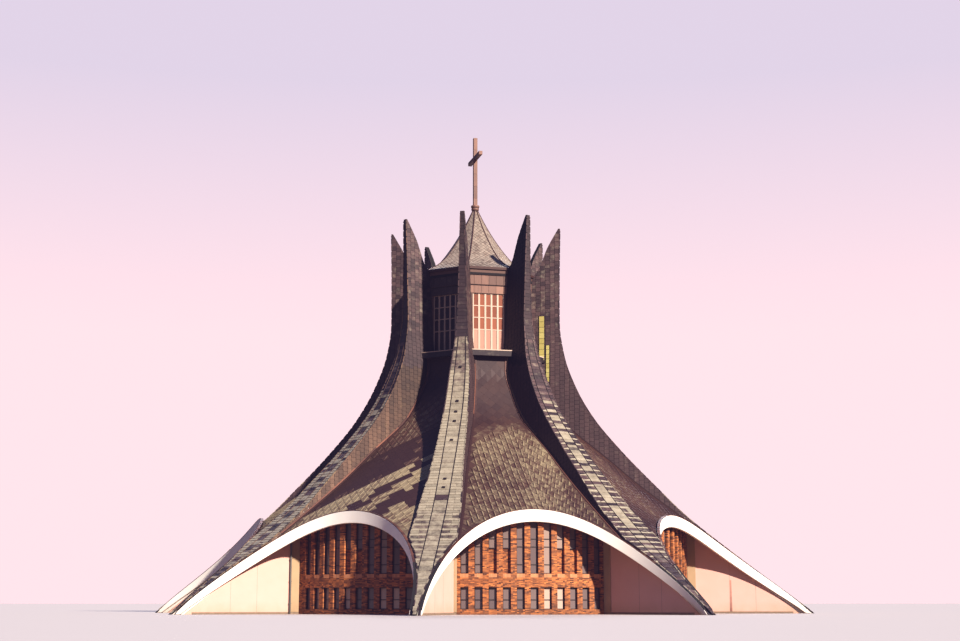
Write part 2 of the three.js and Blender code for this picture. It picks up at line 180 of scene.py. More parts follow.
def trim(outline, start, end):
    """Keeps what lies to the left of the line from start to end."""
    (ax, ay), (bx, by) = start, end

    def side(p):
        return (bx - ax) * (p[1] - ay) - (by - ay) * (p[0] - ax)

    kept = []
    for i, p in enumerate(outline):
        q = outline[(i + 1) % len(outline)]
        here, there = side(p), side(q)
        if here >= 0:
            kept.append(p)
        if here * there < 0:
            part = here / (here - there)
            kept.append(tuple(a + (b - a) * part for a, b in zip(p, q)))
    return kept


def trim_all(outline, *lines):
    """Trims by each line in turn, given by its start and end."""
    for start, end in lines:
        outline = trim(outline, start, end)
    return outline


def flat_plate(u0, u1, v0, v1, low_lift, high_lift):
    """An upright plate's outline, with its own lift at its foot and at its head."""
    return [(u0, v0, low_lift), (u1, v0, low_lift), (u1, v1, high_lift), (u0, v1, high_lift)]


def facing(outline, side):
    """An outline drawn for the right side, run round the other way for the left."""
    return outline if side > 0 else outline[::-1]


def both_edges(low_half, low, high_half, high):
    """Lines to trim with along the right and the left edge of a tapering bay."""
    return ((low_half, low), (high_half, high)), ((-high_half, high), (-low_half, low))


def area(outline):
    xs, ys = [p[0] for p in outline], [p[1] for p in outline]
    return 0.5 * abs(sum(xs[i - 1] * ys[i] - xs[i] * ys[i - 1] for i in range(len(outline))))


def ring_faces(rings, size):
    """Faces between closed rings of points that follow one another."""
    faces = []
    for r in range(rings - 1):
        for i in range(size):
            a, b = r * size + i, r * size + (i + 1) % size
            faces.append([a, b, b + size, a + size])
    return faces


def make_mesh(name, shell, finishes):
    mesh = bpy.data.meshes.new(name)
    mesh.from_pydata((np.array(shell.points) * SCALE).tolist(), [], shell.faces)
    for material in finishes:
        mesh.materials.append(material)
    mesh.polygons.foreach_set("material_index", shell.finish)
    mesh.update()
    return mesh


def make_piece(name, mesh, nodes, slot, turns, shell, **looks):
    """Turns a mesh by some bays, gives each plate its looks, and sets it on the frame for its CAD nodes."""
    mesh = mesh.copy()
    mesh.transform(Matrix.Rotation(turns * BAY_ANGLE, 4, "Z"))
    for key, values in looks.items():
        layer = mesh.attributes.new(key, "FLOAT", "FACE")
        shares = np.broadcast_to(values, len(shell.plates)).astype(np.float32)
        layer.data.foreach_set("value", shares[np.array(shell.plate)])
    piece = bpy.data.objects.new(name, mesh)
    bpy.context.scene.collection.objects.link(piece)
    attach(piece, "root")
    if nodes:
        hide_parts(*nodes)
    return piece


square = [(0, 0, 0), (1, 0, 0), (1, 1, 0), (0, 1, 0)]
print("half a square is", area(trim(square, (0.5, 1), (0.5, 0))))

# %% [markdown]
# ## Colours and nodes
# Colours are written as sRGB hex, as a paint chart gives them, and one function turns them to the linear
# values that Blender works in. Texture scales are worked out from real sizes: `cells(80)` gives a noise
# whose blotches are 80 mm wide on the real building. All finishes start from the tone of a plate and end
# with a fine relief, so three helpers make these.


# %% Colour and node helpers
def linear(code):
    channels = [int(code[i : i + 2], 16) / 255 for i in (1, 3, 5)]
    return (*[c / 12.92 if c <= 0.04045 else ((c + 0.055) / 1.055) ** 2.4 for c in channels], 1.0)


def cells(millimetres):
    return 1000 / (millimetres * SCALE)


def add_node(tree, kind, inputs=None, **settings):
    """Adds a node. An input that is another node's output is linked, any other value is set."""
    made = tree.nodes.new(kind)
    for key, value in settings.items():
        setattr(made, key, value)
    for key, value in (inputs or {}).items():
        if isinstance(value, bpy.types.NodeSocket):
            tree.links.new(value, made.inputs[key])
        else:
            made.inputs[key].default_value = value
    return made


def new_material(name, **constants):
    """A material with its Principled shader. Values that never change are set on the shader's sockets."""
    material = bpy.data.materials.new(name)
    material.use_nodes = True
    tree = material.node_tree
    shader = tree.nodes["Principled BSDF"]
    for key, value in constants.items():
        shader.inputs[key.replace("_", " ")].default_value = value
    return material, tree, shader


def plate_material(name, **constants):
    """A new material with what every finish here starts from: a plate's tone and the place on it."""
    material, tree, shader = new_material(name, **constants)
    tone = add_node(tree, "ShaderNodeAttribute", attribute_name="tone").outputs["Fac"]
    place = add_node(tree, "ShaderNodeTexCoord").outputs["Object"]
    return material, tree, shader, tone, place


def shade_plates(tree, shader, colour, tone, darkest, lightest):
    """Makes each plate darker or lighter by its tone, and hands the colour to the shader."""
    shade = add_node(tree, "ShaderNodeMapRange", {"Value": tone, "To Min": darkest, "To Max": lightest})
    colours = {0: 1.0, 6: colour, 7: shade.outputs["Result"]}
    shaded = add_node(tree, "ShaderNodeMix", colours, data_type="RGBA", blend_type="MULTIPLY")
    tree.links.new(shaded.outputs[2], shader.inputs["Base Color"])


def raise_grain(tree, shader, place, grain_mm, detail, strength, depth):
    """Fine relief, with the real size of its grain in millimetres and its real depth in metres."""
    noise = {"Vector": place, "Scale": cells(grain_mm), "Detail": detail}
    grain = add_node(tree, "ShaderNodeTexNoise", noise).outputs["Fac"]
    relief = {"Height": grain, "Strength": strength, "Distance": depth * SCALE}
    bump = add_node(tree, "ShaderNodeBump", relief)
    tree.links.new(bump.outputs["Normal"], shader.inputs["Normal"])


print("mid grey", [round(v, 3) for v in linear("#808080")[:3]], "80 mm cells", cells(80))

# %% [markdown]
# ## Weathered copper
# The shingles and sheets are rolled copper, laid bright and left to the weather. It turns dark purple-brown
# first, then grows a pale green and cream crust where rain dwells. Both states stand side by side here, one
# sheet brown and the next one green. The brown keeps a soft sheen; the crust is chalky. Each plate carries
# two numbers: `patina`, how far it has turned, and `tone`, its own shade. Noise breaks up the crust inside
# a sheet, and a second noise stretched downhill draws rain streaks. The lower right flank of the rib furthest
# left is sheltered from the rain and has stayed golden brown.


# %% Weathered copper
BLOTCH_MM, STREAK_MM, GRAIN_MM = 420, 110, 28


def weathered_copper(name, colours, streaks=0.5):
    dark, brown, crust, pale = (linear(code) for code in colours.split())
    material, tree, shader, tone, place = plate_material(name, Metallic=0.25)
    patina = add_node(tree, "ShaderNodeAttribute", attribute_name="patina").outputs["Fac"]
    clouds = {"Vector": place, "Scale": cells(BLOTCH_MM), "Detail": 6.0, "Roughness": 0.65}
    blotch = add_node(tree, "ShaderNodeTexNoise", clouds).outputs["Fac"]
    downhill = {"Vector": place, "Scale": (1.0, 1.0, 0.12)}
    stretched = add_node(tree, "ShaderNodeMapping", downhill).outputs["Vector"]
    drops = {"Vector": stretched, "Scale": cells(STREAK_MM), "Detail": 4.0}
    rain = add_node(tree, "ShaderNodeTexNoise", drops).outputs["Fac"]
    metal = add_node(tree, "ShaderNodeMix", {0: tone, 6: dark, 7: brown}, data_type="RGBA").outputs[2]
    salts = add_node(tree, "ShaderNodeMix", {0: blotch, 6: crust, 7: pale}, data_type="RGBA").outputs[2]
    uneven = add_node(tree, "ShaderNodeMath", {0: blotch, 1: -0.5}, operation="ADD").outputs[0]
    growth = {0: uneven, 1: 1.1, 2: patina}
    grown = add_node(tree, "ShaderNodeMath", growth, operation="MULTIPLY_ADD", use_clamp=True).outputs[0]
    edge = {"Value": grown, "From Min": 0.12, "From Max": 0.78}
    cover = add_node(tree, "ShaderNodeMapRange", edge, interpolation_type="SMOOTHSTEP").outputs["Result"]
    mixed = add_node(tree, "ShaderNodeMix", {0: cover, 6: metal, 7: salts}, data_type="RGBA").outputs[2]
    runs = {"Value": rain, "From Min": 0.45, "From Max": 0.75, "To Max": streaks}
    wet = add_node(tree, "ShaderNodeMapRange", runs).outputs["Result"]
    stained = add_node(tree, "ShaderNodeMix", {0: wet, 6: mixed, 7: dark}, data_type="RGBA").outputs[2]
    shade_plates(tree, shader, stained, tone, 0.78, 1.18)
    rough = add_node(tree, "ShaderNodeMapRange", {"Value": cover, "To Min": 0.62, "To Max": 0.9})
    tree.links.new(rough.outputs["Result"], shader.inputs["Roughness"])
    raise_grain(tree, shader, place, GRAIN_MM, 3.0, 0.35, 0.004)
    return material


roof_copper = weathered_copper("weathered_copper_shingle", "#331b1d #66493c #7a6b55 #9d8f75", 0.25)
rib_copper = weathered_copper("weathered_copper_rib_sheet", "#271b22 #5a4544 #887c6a #afa694", 0.22)
bell_copper = weathered_copper("weathered_copper_bell_shingle", "#5f4942 #907a6b #8c7f74 #a99a8e", 0.15)
lantern_copper = weathered_copper("weathered_copper_lantern_sheet", "#392d2f #846255 #746658 #8e7a6d", 0.25)
bare_lantern_copper = weathered_copper("weathered_copper_lantern_wall", "#654940 #654940 #746658 #8e7a6d")
trim_copper = weathered_copper("folded_copper_flashing", "#362022 #855845 #6f5e4b #967b64", 0.3)
sheltered_copper = weathered_copper("sheltered_copper_sheet", "#32231f #705545 #7c6650 #a18b6e", 0.4)
print("copper materials", [made.name for made in (roof_copper, rib_copper, bell_copper, trim_copper)])

# %% [markdown]
# ## Render, brick, mortar, concrete and steel
# The arches and wing walls are cement render under white masonry paint, trowelled smooth: nearly white,
# matt, with faint clouds from the trowel and dust near the ground. The wing walls have the warmer paint of
# the two. The bricks are pressed and fired clay, gritty to the eye. Each one has its own shade, from plum
# where the kiln was hottest to a pale orange. The mortar between them is lime and sand. The windows are
# thin rolled steel bars under dark brown paint.


# %% Masonry and steel
def masonry(name, colours, blotch_mm, grit_mm, grit, roughness=0.9, tones=(0.8, 1.15), by_tone=False):
    """Cloudy or plate by plate in two colours, with dust that the rain has splashed up from the ground."""
    base, other, dust = (linear(code) for code in colours.split())
    material, tree, shader, tone, place = plate_material(name, Roughness=roughness)
    clouds = {"Vector": place, "Scale": cells(blotch_mm), "Detail": 5.0}
    cloud = add_node(tree, "ShaderNodeTexNoise", clouds).outputs["Fac"]
    share = tone if by_tone else cloud
    body = add_node(tree, "ShaderNodeMix", {0: share, 6: base, 7: other}, data_type="RGBA").outputs[2]
    height = add_node(tree, "ShaderNodeSeparateXYZ", {"Vector": place}).outputs["Z"]
    ground = {"Value": height, "From Min": 0.0, "From Max": 0.9 * SCALE, "To Min": 0.75, "To Max": 0.0}
    low = add_node(tree, "ShaderNodeMapRange", ground).outputs["Result"]
    splash = add_node(tree, "ShaderNodeMath", {0: low, 1: cloud}, operation="MULTIPLY").outputs[0]
    dusty = add_node(tree, "ShaderNodeMix", {0: splash, 6: body, 7: dust}, data_type="RGBA").outputs[2]
    shade_plates(tree, shader, dusty, tone, *tones)
    raise_grain(tree, shader, place, grit_mm, 3.0, grit, 0.004)
    return material


white_render = masonry("painted_cement_render", "#f9f5f1 #f0e8df #bfa78e", 900, 14, 0.25)
brick_clay = masonry(
    "fired_clay_brick", "#6a392a #c87c43 #754d32", 160, 9, 0.5, tones=(0.42, 1.15), by_tone=True
)
sill_clay = masonry("pale_fired_clay_sill", "#d1976c #be7c56 #836756", 160, 9, 0.4)
lime_mortar = masonry("lime_mortar_joint", "#8f7a69 #7c6958 #6a5b4c", 120, 6, 0.5)
cast_concrete = masonry("floated_concrete", "#8b857a #787268 #6a6459", 500, 12, 0.3, tones=(1.0, 1.0))
bare_render = masonry("painted_wall_render", "#e0b6ab #d8ac9e #b69470", 900, 14, 0.25, tones=(0.96, 0.96))
# Painted shade: the strips beside the brick are white render, and this beige paints the shade that the arch
# casts on them.
shade_painted_strip_render = masonry("white_render_with_painted_shade", "#b59a7b #a68b6d #82684c", 600, 14, 0.25)
grey_plinth = masonry("cement_plinth", "#97826f #8a7563 #6b5a49", 300, 12, 0.3)
underlay = masonry("brown_roofing_underlay", "#3e2d2b #322323 #322323", 200, 5, 0.4)
felt = masonry("bitumen_roofing_felt", "#221b1d #181314 #221b1d", 200, 5, 0.4)
window_steel = masonry("brown_painted_steel", "#30241f #261c19 #3e322b", 60, 4, 0.1, roughness=0.45)
rusty_render = masonry("rust_stained_render", "#c08f80 #a67468 #3c2620", 300, 14, 0.25)
cream_steel = masonry("cream_painted_steel", "#beaa9b #b39a88 #9e8574", 60, 4, 0.1, roughness=0.5)
zinc = masonry("rolled_zinc_pipe", "#797572 #696460 #5b5651", 90, 4, 0.1, roughness=0.5)
zinc.node_tree.nodes["Principled BSDF"].inputs["Metallic"].default_value = 0.6
print("masonry and steel materials made")

# %% [markdown]
# ## Glass
# Two kinds. The slit windows are clear float glass, seen from outside by day: the room behind is dark and
# the pane shows a soft sheen. The pane's own grey is painted: it stands for the sky's reflection in the
# glass as well as for blinds and dust inside, and is paler in some windows than in others. The lantern has
# small panes of amber cathedral glass, rolled with a faint ripple, some redder than others.


# %% Glass
def pane_glass(name, colours, ripple_mm, ripple, transmission, roughness):
    dark, light = (linear(code) for code in colours.split())
    constants = {"Roughness": roughness, "IOR": 1.52, "Transmission_Weight": transmission}
    material, tree, shader, tone, place = plate_material(name, **constants)
    mixed = add_node(tree, "ShaderNodeMix", {0: tone, 6: dark, 7: light}, data_type="RGBA")
    tree.links.new(mixed.outputs[2], shader.inputs["Base Color"])
    raise_grain(tree, shader, place, ripple_mm, 2.0, ripple, 0.003)
    return material


# Painted reflection: the grey of these panes stands for the sky reflected in them, as well as for dust and
# blinds.
window_glass = pane_glass("float_glass_dust_and_painted_reflection", "#665a5c #c0a799", 700, 0.1, 0.0, 0.12)
amber_glass = pane_glass("amber_cathedral_glass", "#2f161d #a6684f", 60, 0.3, 0.1, 0.2)
pale_glass = pane_glass("peach_cathedral_glass", "#b47e6b #bf9686", 60, 0.3, 0.1, 0.25)
yellow_glass = pane_glass("yellow_cathedral_glass", "#a39651 #c1b777", 60, 0.3, 0.1, 0.25)
print("glass materials made")

# %% [markdown]
# ## The roof skin's surface
# Between two ribs the roof is a curved sheet: round in plan above the arches and flat near the lantern. One
# function gives its points for a place across the bay and a height. Shingles need distances along the slope,
# so a table turns slope length into height. The white arch cuts the sheet, and its cut is found once for
# each place across.

# %% Roof surface
heights = np.linspace(SKIN_LOW, SKIN_HIGH, 800)
slope = length_up(heights, skin_radius)


def bay_end(radius, height):
    """Half width of the bay at a rib's side, and how far out that end stands."""
    half = rib_width(height) / 2 + GAP
    across = radius * math.sin(HALF_BAY) - half * math.cos(HALF_BAY)
    out = radius * math.cos(HALF_BAY) + half * math.sin(HALF_BAY)
    return across, out


def skin_out(across, height, inward=0.0):
    """Distance of the skin from the axis plane at a place across the bay."""
    end_across, end_out = bay_end(skin_radius(height) - inward, height)
    blend = np.clip((FLAT_FROM - height) / (FLAT_FROM - ROUND_UP_TO), 0, 1)
    bulge = np.hypot(end_across, end_out) - end_out
    return end_out + blend * bulge * (1 - (across / end_across) ** 2)


def roof_surface(across, along, lift):
    """Points on the roof from metres across and metres up the slope, raised by lift."""

    def at(a, s):
        h = np.interp(s, slope, heights)
        return np.stack([a, -skin_out(a, h), h], axis=-1)

    step = 0.02
    along = np.clip(along, step, slope[-1] - step)
    right = at(across + step, along) - at(across - step, along)
    up = at(across, along + step) - at(across, along - step)
    normal = np.cross(right, up)
    normal /= np.linalg.norm(normal, axis=-1, keepdims=True)
    return at(across, along) + normal * np.asarray(lift)[:, None]


def arch_out(t):
    return ARCH_CROWN + ARCH_BOW * t**2 + ARCH_FLARE * t**4


def arch_height(t):
    return ARCH_RISE * np.maximum(0, 1 - (t / ARCH_HALF_SPAN) ** 2) ** ARCH_FULLNESS


def behind_arch(t, back):
    """Plan point a distance behind the face of the arch, as across and out."""
    run = 2 * ARCH_BOW * t + 4 * ARCH_FLARE * t**3
    length = np.hypot(1, run)
    return t + back * run / length, arch_out(t) - back / length


back_across, back_out = behind_arch(np.linspace(-11, 11, 441), FASCIA_THICKNESS + GAP)


def lowest_height(share, inward=0.0):
    """Height where the arch cuts the skin, at a share of the way from the bay's centre to a rib."""
    low, high = SKIN_LOW, 9.0
    for _ in range(40):
        middle = (low + high) / 2
        across = share * bay_end(skin_radius(middle) - inward, middle)[0]
        past = skin_out(across, middle, inward) > np.interp(across, back_across, back_out)
        low, high = (middle, high) if past else (low, middle)
    return (low + high) / 2


shares = np.linspace(-1, 1, 61)
cut_heights = np.array([lowest_height(s) for s in shares])
cut_across = shares * bay_end(skin_radius(cut_heights), cut_heights)[0]
cut_along = np.interp(cut_heights, heights, slope)
print("roof slope", round(slope[-1].item(), 2), "m, cut at the crown at", round(cut_heights[30].item(), 2))

# %% [markdown]
# ## Diamond shingles
# The roof is laid with square copper shingles set corner down, about 550 mm a side. Each hooks over the two
# below, so its lower corner stands a finger's width proud and the joints draw a net of diagonals. A diamond
# grid on the slope gives them, each diamond shrunk by the width of its joint, tipped up at the bottom, and
# trimmed by the ribs, the arch and the lantern's ledge. A raised fold runs down the middle of each older
# shingle: its right side catches the low sun and its left side stays dark. The looks of the roof also paint
# the right side lighter and greener and the left side darker, as painted light. The smooth brown sheets under
# the lantern and in the long bands of some bays are newer and have no fold.

# %% Roof shingles
SHINGLE_SIDE = 0.55
JOINT = 0.014
LOW_LIFT, SIDE_LIFT, TOP_LIFT = 0.024, 0.014, 0.004


def diamonds(side, joint, first, last, widest):
    """The diamonds of a grid, row by row, as corners of (u, v, lift)."""
    half = side / math.sqrt(2)
    inner = half - joint / math.sqrt(2)
    for row in range(int(first / half) - 1, int(last / half) + 2):
        v = row * half
        for column in range(-int(widest / half) - 2, int(widest / half) + 3):
            if (row + column) % 2:
                continue
            u = column * half
            low, high = (u, v - inner, LOW_LIFT), (u, v + inner, TOP_LIFT)
            yield row, column, [low, (u + inner, v, SIDE_LIFT), high, (u - inner, v, SIDE_LIFT)]


FOLD_LENGTH, FOLD_WIDTH, FOLD_TIP = 0.63, 0.17, 0.05
FOLD_RISE = {False: 0.045, True: 0.025}


def fold(u, v, rise):
    """The two slopes of a shingle's raised fold. It stands upright, and leans on the right of a bay."""
    lean = 0.12 * float(np.clip(u - 0.4, 0, 1))
    low, high = v - FOLD_LENGTH / 2, v + FOLD_LENGTH / 2
    slopes = []
    for side in (1, -1):
        edge = side * FOLD_WIDTH / 2
        outline = [
            (u - lean, low, 0.02 + rise), (u + edge - lean / 2, low + FOLD_TIP, 0.016),
            (u + edge + lean / 2, high - FOLD_TIP, 0.01), (u + lean, high, 0.008 + rise),
        ]
        slopes.append(facing(outline, side))
    return slopes


def chord(curve_u, curve_v, at_u, reach):
    """Two points of a curve on both sides of a place, as a straight line to trim with."""
    a, b = at_u - reach, at_u + reach
    return (a, float(np.interp(a, curve_u, curve_v))), (b, float(np.interp(b, curve_u, curve_v)))


bay_half = bay_end(skin_radius(heights), heights)[0] - 0.03
tiles = []
half_diamond = SHINGLE_SIDE / math.sqrt(2)
whole = 2 * (half_diamond - JOINT / math.sqrt(2)) ** 2
top = slope[-1]
for row, column, corners in diamonds(SHINGLE_SIDE, JOINT, 0.0, top, 9.0):
    u, v = column * half_diamond, row * half_diamond
    limit = np.interp(v, slope, bay_half)
    if abs(u) > limit + half_diamond or not 0 < v < top + half_diamond:
        continue
    low_v, high_v = max(v - half_diamond, 0), min(v + half_diamond, top)
    low_limit, high_limit = np.interp([low_v, high_v], slope, bay_half)
    outline = trim_all(
        corners, *both_edges(low_limit, low_v, high_limit, high_v),
        chord(cut_across, cut_along + 0.02, u, half_diamond), ((1, top - 0.03), (-1, top - 0.03)),
    )
    if len(outline) < 3 or area(outline) < 0.002:
        continue
    height = float(np.interp(v, slope, heights))
    tiles.append((outline, (u, height, row + column, row - column), v, area(outline) > 0.97 * whole))
print("shingles a bay", len(tiles), "of them whole", sum(tile[3] for tile in tiles))


# %% Where the roof is newer
BANDED_BAYS = (8, 4)
BROWN_FROM, BROWN_LOWEST, BROWN_BLEND = 13.2, 8.8, 1.8
BANDED_RISE = 2.6


def brown_top(u, height, banded):
    """How far a place lies inside the smooth brown top of a bay, from 0 to 1."""
    arc = np.maximum(BROWN_FROM - 0.4 * np.minimum(u + 0.4, 0) ** 2, BROWN_LOWEST)
    boundary = BANDED_RISE * banded + arc + 0.3 * np.sin(2.1 * u)
    return np.clip((height - boundary) / BROWN_BLEND + 0.5, 0, 1)


def newer_sheets(u, height, rising, falling, random):
    """Which shingles of a banded bay are newer: bands that climb to the right, in metres along the joints."""
    drop, climb = falling * half_diamond, rising * half_diamond
    step = 0.55 * (np.floor(climb / 1.8) % 2)
    slanted = 7.1 + 0.29 * (climb - 8.2)
    newer = (drop >= 10.6 + step) & (drop < 15.0)
    newer |= (drop >= slanted) & (drop < slanted + 0.8 + step)
    newer |= (drop >= 2.9 + 2 * step) & (drop < 6.4 + step / 2) & (u > 1.3 + 0.6 * step)
    return newer & (height < 13.5) & (random > 0.05)


def chances(rising, falling, bay):
    """Two seeded random numbers for each shingle."""
    number = (rising * 31 + falling * 57).astype(int) % 4096
    rng = np.random.default_rng(100 + bay)
    return rng.random(4096)[number], rng.random(4096)[number]


TIGHT, FLATTER, FLAT_LIFT = 1.02, 0.3, 0.004
SHINGLE, UNDERLAY, CEILING, FLASHING = 0, 1, 2, 3


def shingled_roof(banded):
    """Lays one bay's shingles and the folds on the older ones. Newer ones lie flat, with tight joints."""
    shell = Shell()
    u, height, rising, falling = np.array([place for _, place, _, _ in tiles], float).T
    smooth = brown_top(u, height, banded) > 0.45
    if banded:
        smooth |= newer_sheets(u, height, rising, falling, chances(rising, falling, BANDED_BAYS[0])[0])
    plates, folds, side = [], [], [0] * len(tiles)
    for (outline, place, _, _), bare in zip(tiles, smooth):
        mid_u, mid_v = place[0], float(np.interp(place[1], heights, slope))
        flat = [
            (mid_u + (a - mid_u) * TIGHT, mid_v + (b - mid_v) * TIGHT, lift * FLATTER + FLAT_LIFT)
            for a, b, lift in outline
        ]
        plates.append((flat if bare else outline, shell.new_plate(*place)))
    for (_, place, v, is_whole), bare in zip(tiles, smooth):
        if is_whole and not bare:
            folds += [(outline, shell.new_plate(*place)) for outline in fold(place[0], v, FOLD_RISE[banded])]
            side += [1, -1]
    lay_plates(shell, plates, roof_surface, SHINGLE, low=-0.01)
    lay_plates(shell, folds, roof_surface, SHINGLE, low=0.0)
    return shell, np.array(side)


# %% Boards, ceiling and edges under the shingles
FLASHING_WIDTH, FLASHING_LENGTH = 0.13, 0.8
COLUMNS, ROWS = 24, 46


def edge_flashings(shell):
    """Folded copper along both edges of a bay, where the roof meets the ribs."""
    outlines = []
    for side in (-1, 1):
        for low in np.arange(cut_along[-1] + 0.1, slope[-1] - 0.1, FLASHING_LENGTH):
            high = min(low + FLASHING_LENGTH - 0.01, slope[-1] - 0.05)
            low_edge, high_edge = np.interp([low, high], slope, bay_half) + 0.02
            outline = [
                (side * (low_edge - FLASHING_WIDTH), low, 0.05), (side * low_edge, low, 0.05),
                (side * high_edge, high, 0.05), (side * (high_edge - FLASHING_WIDTH), high, 0.05),
            ]
            plate = shell.new_plate(side * low_edge, float(np.interp(low, slope, heights)))
            outlines.append((facing(outline, side), plate))
    lay_plates(shell, outlines, roof_surface, FLASHING, low=0.0)


def skin_sheet(shell, inward, lift, finish, flip):
    """A smooth sheet of the skin from the arch's cut to the ledge. Gives the number of its first point."""
    across_shares = np.linspace(-1, 1, COLUMNS + 1)
    lows = np.array([lowest_height(s, inward) for s in across_shares])
    points, faces = [], []
    for r in range(ROWS + 1):
        h = lows + (SKIN_HIGH - lows) * r / ROWS
        a = across_shares * bay_end(skin_radius(h) - inward, h)[0]
        out = skin_out(a, h, inward) + lift
        points.extend(np.stack([a, -out, h], axis=-1).tolist())
    for r in range(ROWS):
        for c in range(COLUMNS):
            i = r * (COLUMNS + 1) + c
            face = [i, i + 1, i + COLUMNS + 2, i + COLUMNS + 1]
            faces.append(face[::-1] if flip else face)
    start = len(shell.points)
    shell.add(points, faces, finish, shell.new_plate(0, 0, -1))
    return start


def join_rims(shell, outer, inner, finish):
    """Closes the rim between the outer and the inner sheet."""
    width = COLUMNS + 1
    rim = list(range(width)) + [r * width + COLUMNS for r in range(1, ROWS + 1)]
    rim += [ROWS * width + c for c in range(COLUMNS - 1, -1, -1)]
    rim += [r * width for r in range(ROWS - 1, 0, -1)]
    faces = [[outer + b, outer + a, inner + a, inner + b] for a, b in zip(rim, rim[1:] + rim[:1])]
    shell.add([], faces, finish, shell.new_plate(0, 0, -1), start=0)


roof_shells = {}
for banded in (False, True):
    shell, fold_side = shingled_roof(banded)
    edge_flashings(shell)
    outer_sheet = skin_sheet(shell, 0.0, -0.02, UNDERLAY, False)
    inner_sheet = skin_sheet(shell, SKIN_THICKNESS * 1.35, 0.0, CEILING, True)
    join_rims(shell, outer_sheet, inner_sheet, UNDERLAY)
    mesh = make_mesh("roof_bay_shingled", shell, [roof_copper, underlay, white_render, trim_copper])
    roof_shells[banded] = (shell, fold_side, mesh)
    print("roof bay faces", len(shell.faces))

# %% [markdown]
# ## How the roof has weathered, and painted light on it
# The front bay is smooth purple-brown under the lantern, mottled in the middle and greener towards the arch.
# The bay to its left has long brown bands of newer sheets that climb to the right along the diagonal
# joints, with green ones between them. The bays that face the key lamp are painted browner and so darker,
# and the pale low band of the banded bays is painted lighter still: painted light. On each fold the sunlit
# right side is painted lighter and greener and the left side darker. The sides that the photograph doesn't
# show repeat these. Soft noise made from a few sine waves decides where the green begins, and a seeded
# random number shades each shingle.


# %% Looks of the roof
# Painted light: the bays right of the front, which face the key lamp, lose this much green, so they look
# browner and darker.
PAINTED_LIGHT_LESS_GREEN = {2: 0.2, 3: 0.1}
LOW_BAND = 10.8


def waves(u, v, seed):
    """Smooth pattern between -1 and 1 from a few sine waves."""
    rng = np.random.default_rng(seed)
    total = np.zeros_like(u)
    for _ in range(6):
        fu, fv, phase = rng.uniform(-1.3, 1.3), rng.uniform(-1.3, 1.3), rng.uniform(0, 6.3)
        total += np.sin(fu * u + fv * v + phase)
    return total / 3


def roof_looks(shell, fold_side, bay):
    """Shares from 0 to 1 for each plate. A fold's sunlit right side is painted greener and lighter and its
    left side darker: painted light.
    """
    u, height, rising, falling = shell.columns()
    side = np.append(fold_side, np.zeros(len(u) - len(fold_side)))
    random, other = chances(rising, falling, bay)
    patch = waves(u, height, bay)
    climb = 0.035 * (height - 7)
    # Painted light: 0.15 * side raises the tone of a fold's sunlit right side and lowers its left side, and
    # the green below does the same.
    tone = 0.42 + climb + 0.1 * patch + (random - 0.5) * 0.16 + 0.15 * side
    green = 0.27 + climb + 0.12 * patch + (other - 0.5) * 0.18 + np.where(side > 0, 0.27, 0.1 * side)
    green = green - PAINTED_LIGHT_LESS_GREEN.get(bay, 0)
    brown = brown_top(u, height, bay in BANDED_BAYS)
    green = green * (1 - brown) + 0.06 * other * brown
    smooth = 0.08 + 0.08 * np.clip(15 - height, 0, 3) + 0.16 * (random - 0.5) + 0.06 * patch
    tone = tone * (1 - brown) + smooth * brown
    if bay in BANDED_BAYS:
        newer = newer_sheets(u, height, rising, falling, chances(rising, falling, BANDED_BAYS[0])[0])
        low = falling * half_diamond < LOW_BAND
        # The low band is a real pale patch. Its tone is raised by a further 0.3 as painted light, so that it
        # reads pale under the grazing key light on the bay left of the front.
        green = np.where(newer, 0.0, np.where(low, green + 0.34, green * 0.4))
        tone = np.where(newer, 0.2 + (random - 0.5) * 0.06, np.where(low, tone + 0.3, tone * 0.75))
    flashing = (rising == 0) & (falling == 0)
    tone, green = np.where(flashing, 0.12 + 0.25 * (u > 0), tone), np.where(flashing, 0.0, green)
    return {"tone": np.clip(tone, 0, 1), "patina": np.clip(green, 0, 1)}


for bay in range(1, BAYS + 1):
    shell, fold_side, mesh = roof_shells[bay in BANDED_BAYS]
    make_piece(
        f"shingled_roof_{bay}", mesh, [f"roof_bay_{bay}"], "roof_shingles", bay - 1, shell,
        **roof_looks(shell, fold_side, bay),
    )
print("roof bays placed", BAYS)

# %% [markdown]
# ## The ribs
# Each rib is a tapering box beam that leans in from the ground and turns up into a fin. Its outer face has
# a middle strip of larger sheets between two dark upright seams, and shorter courses on both sides, like
# the rungs of a ladder. Above the lantern's sill the face is narrow and plain. The flanks are clad in
# upright strips 370 mm wide with short cross joints. Near the ground the arches cut the rib to a
# point, so the width of every ring and sheet is held inside the cut.

# %% Rib body
rib_heights = np.linspace(0, RIB_TOP, 1200)
edge_length = length_up(rib_heights, rib_radius)
FACE_SINK = 0.03
UNCUT_INSIDE, UNCUT_HALF, BESIDE_LANTERN = 14, 9.0, 4.3


def arch_limit(radius):
    """Half width that the two arches leave of a rib at a distance from the axis."""
    low, high = 0.0, 4.0
    for _ in range(30):
        half = (low + high) / 2
        out = radius * math.cos(HALF_BAY) + half * math.sin(HALF_BAY)
        across = radius * math.sin(HALF_BAY) - half * math.cos(HALF_BAY)
        past = out > np.interp(across, back_across, back_out)
        low, high = (low, half) if past else (half, high)
    return low


limit_radii = np.linspace(UNCUT_INSIDE, 25.3, 200)
limits = np.array([arch_limit(r) for r in limit_radii])


def rib_half(radius, height):
    """Half width of a rib at a distance from the axis and a height."""
    cut = np.where(radius < UNCUT_INSIDE, UNCUT_HALF, np.interp(radius, limit_radii, limits))
    return np.minimum(rib_width(height) / 2, cut)


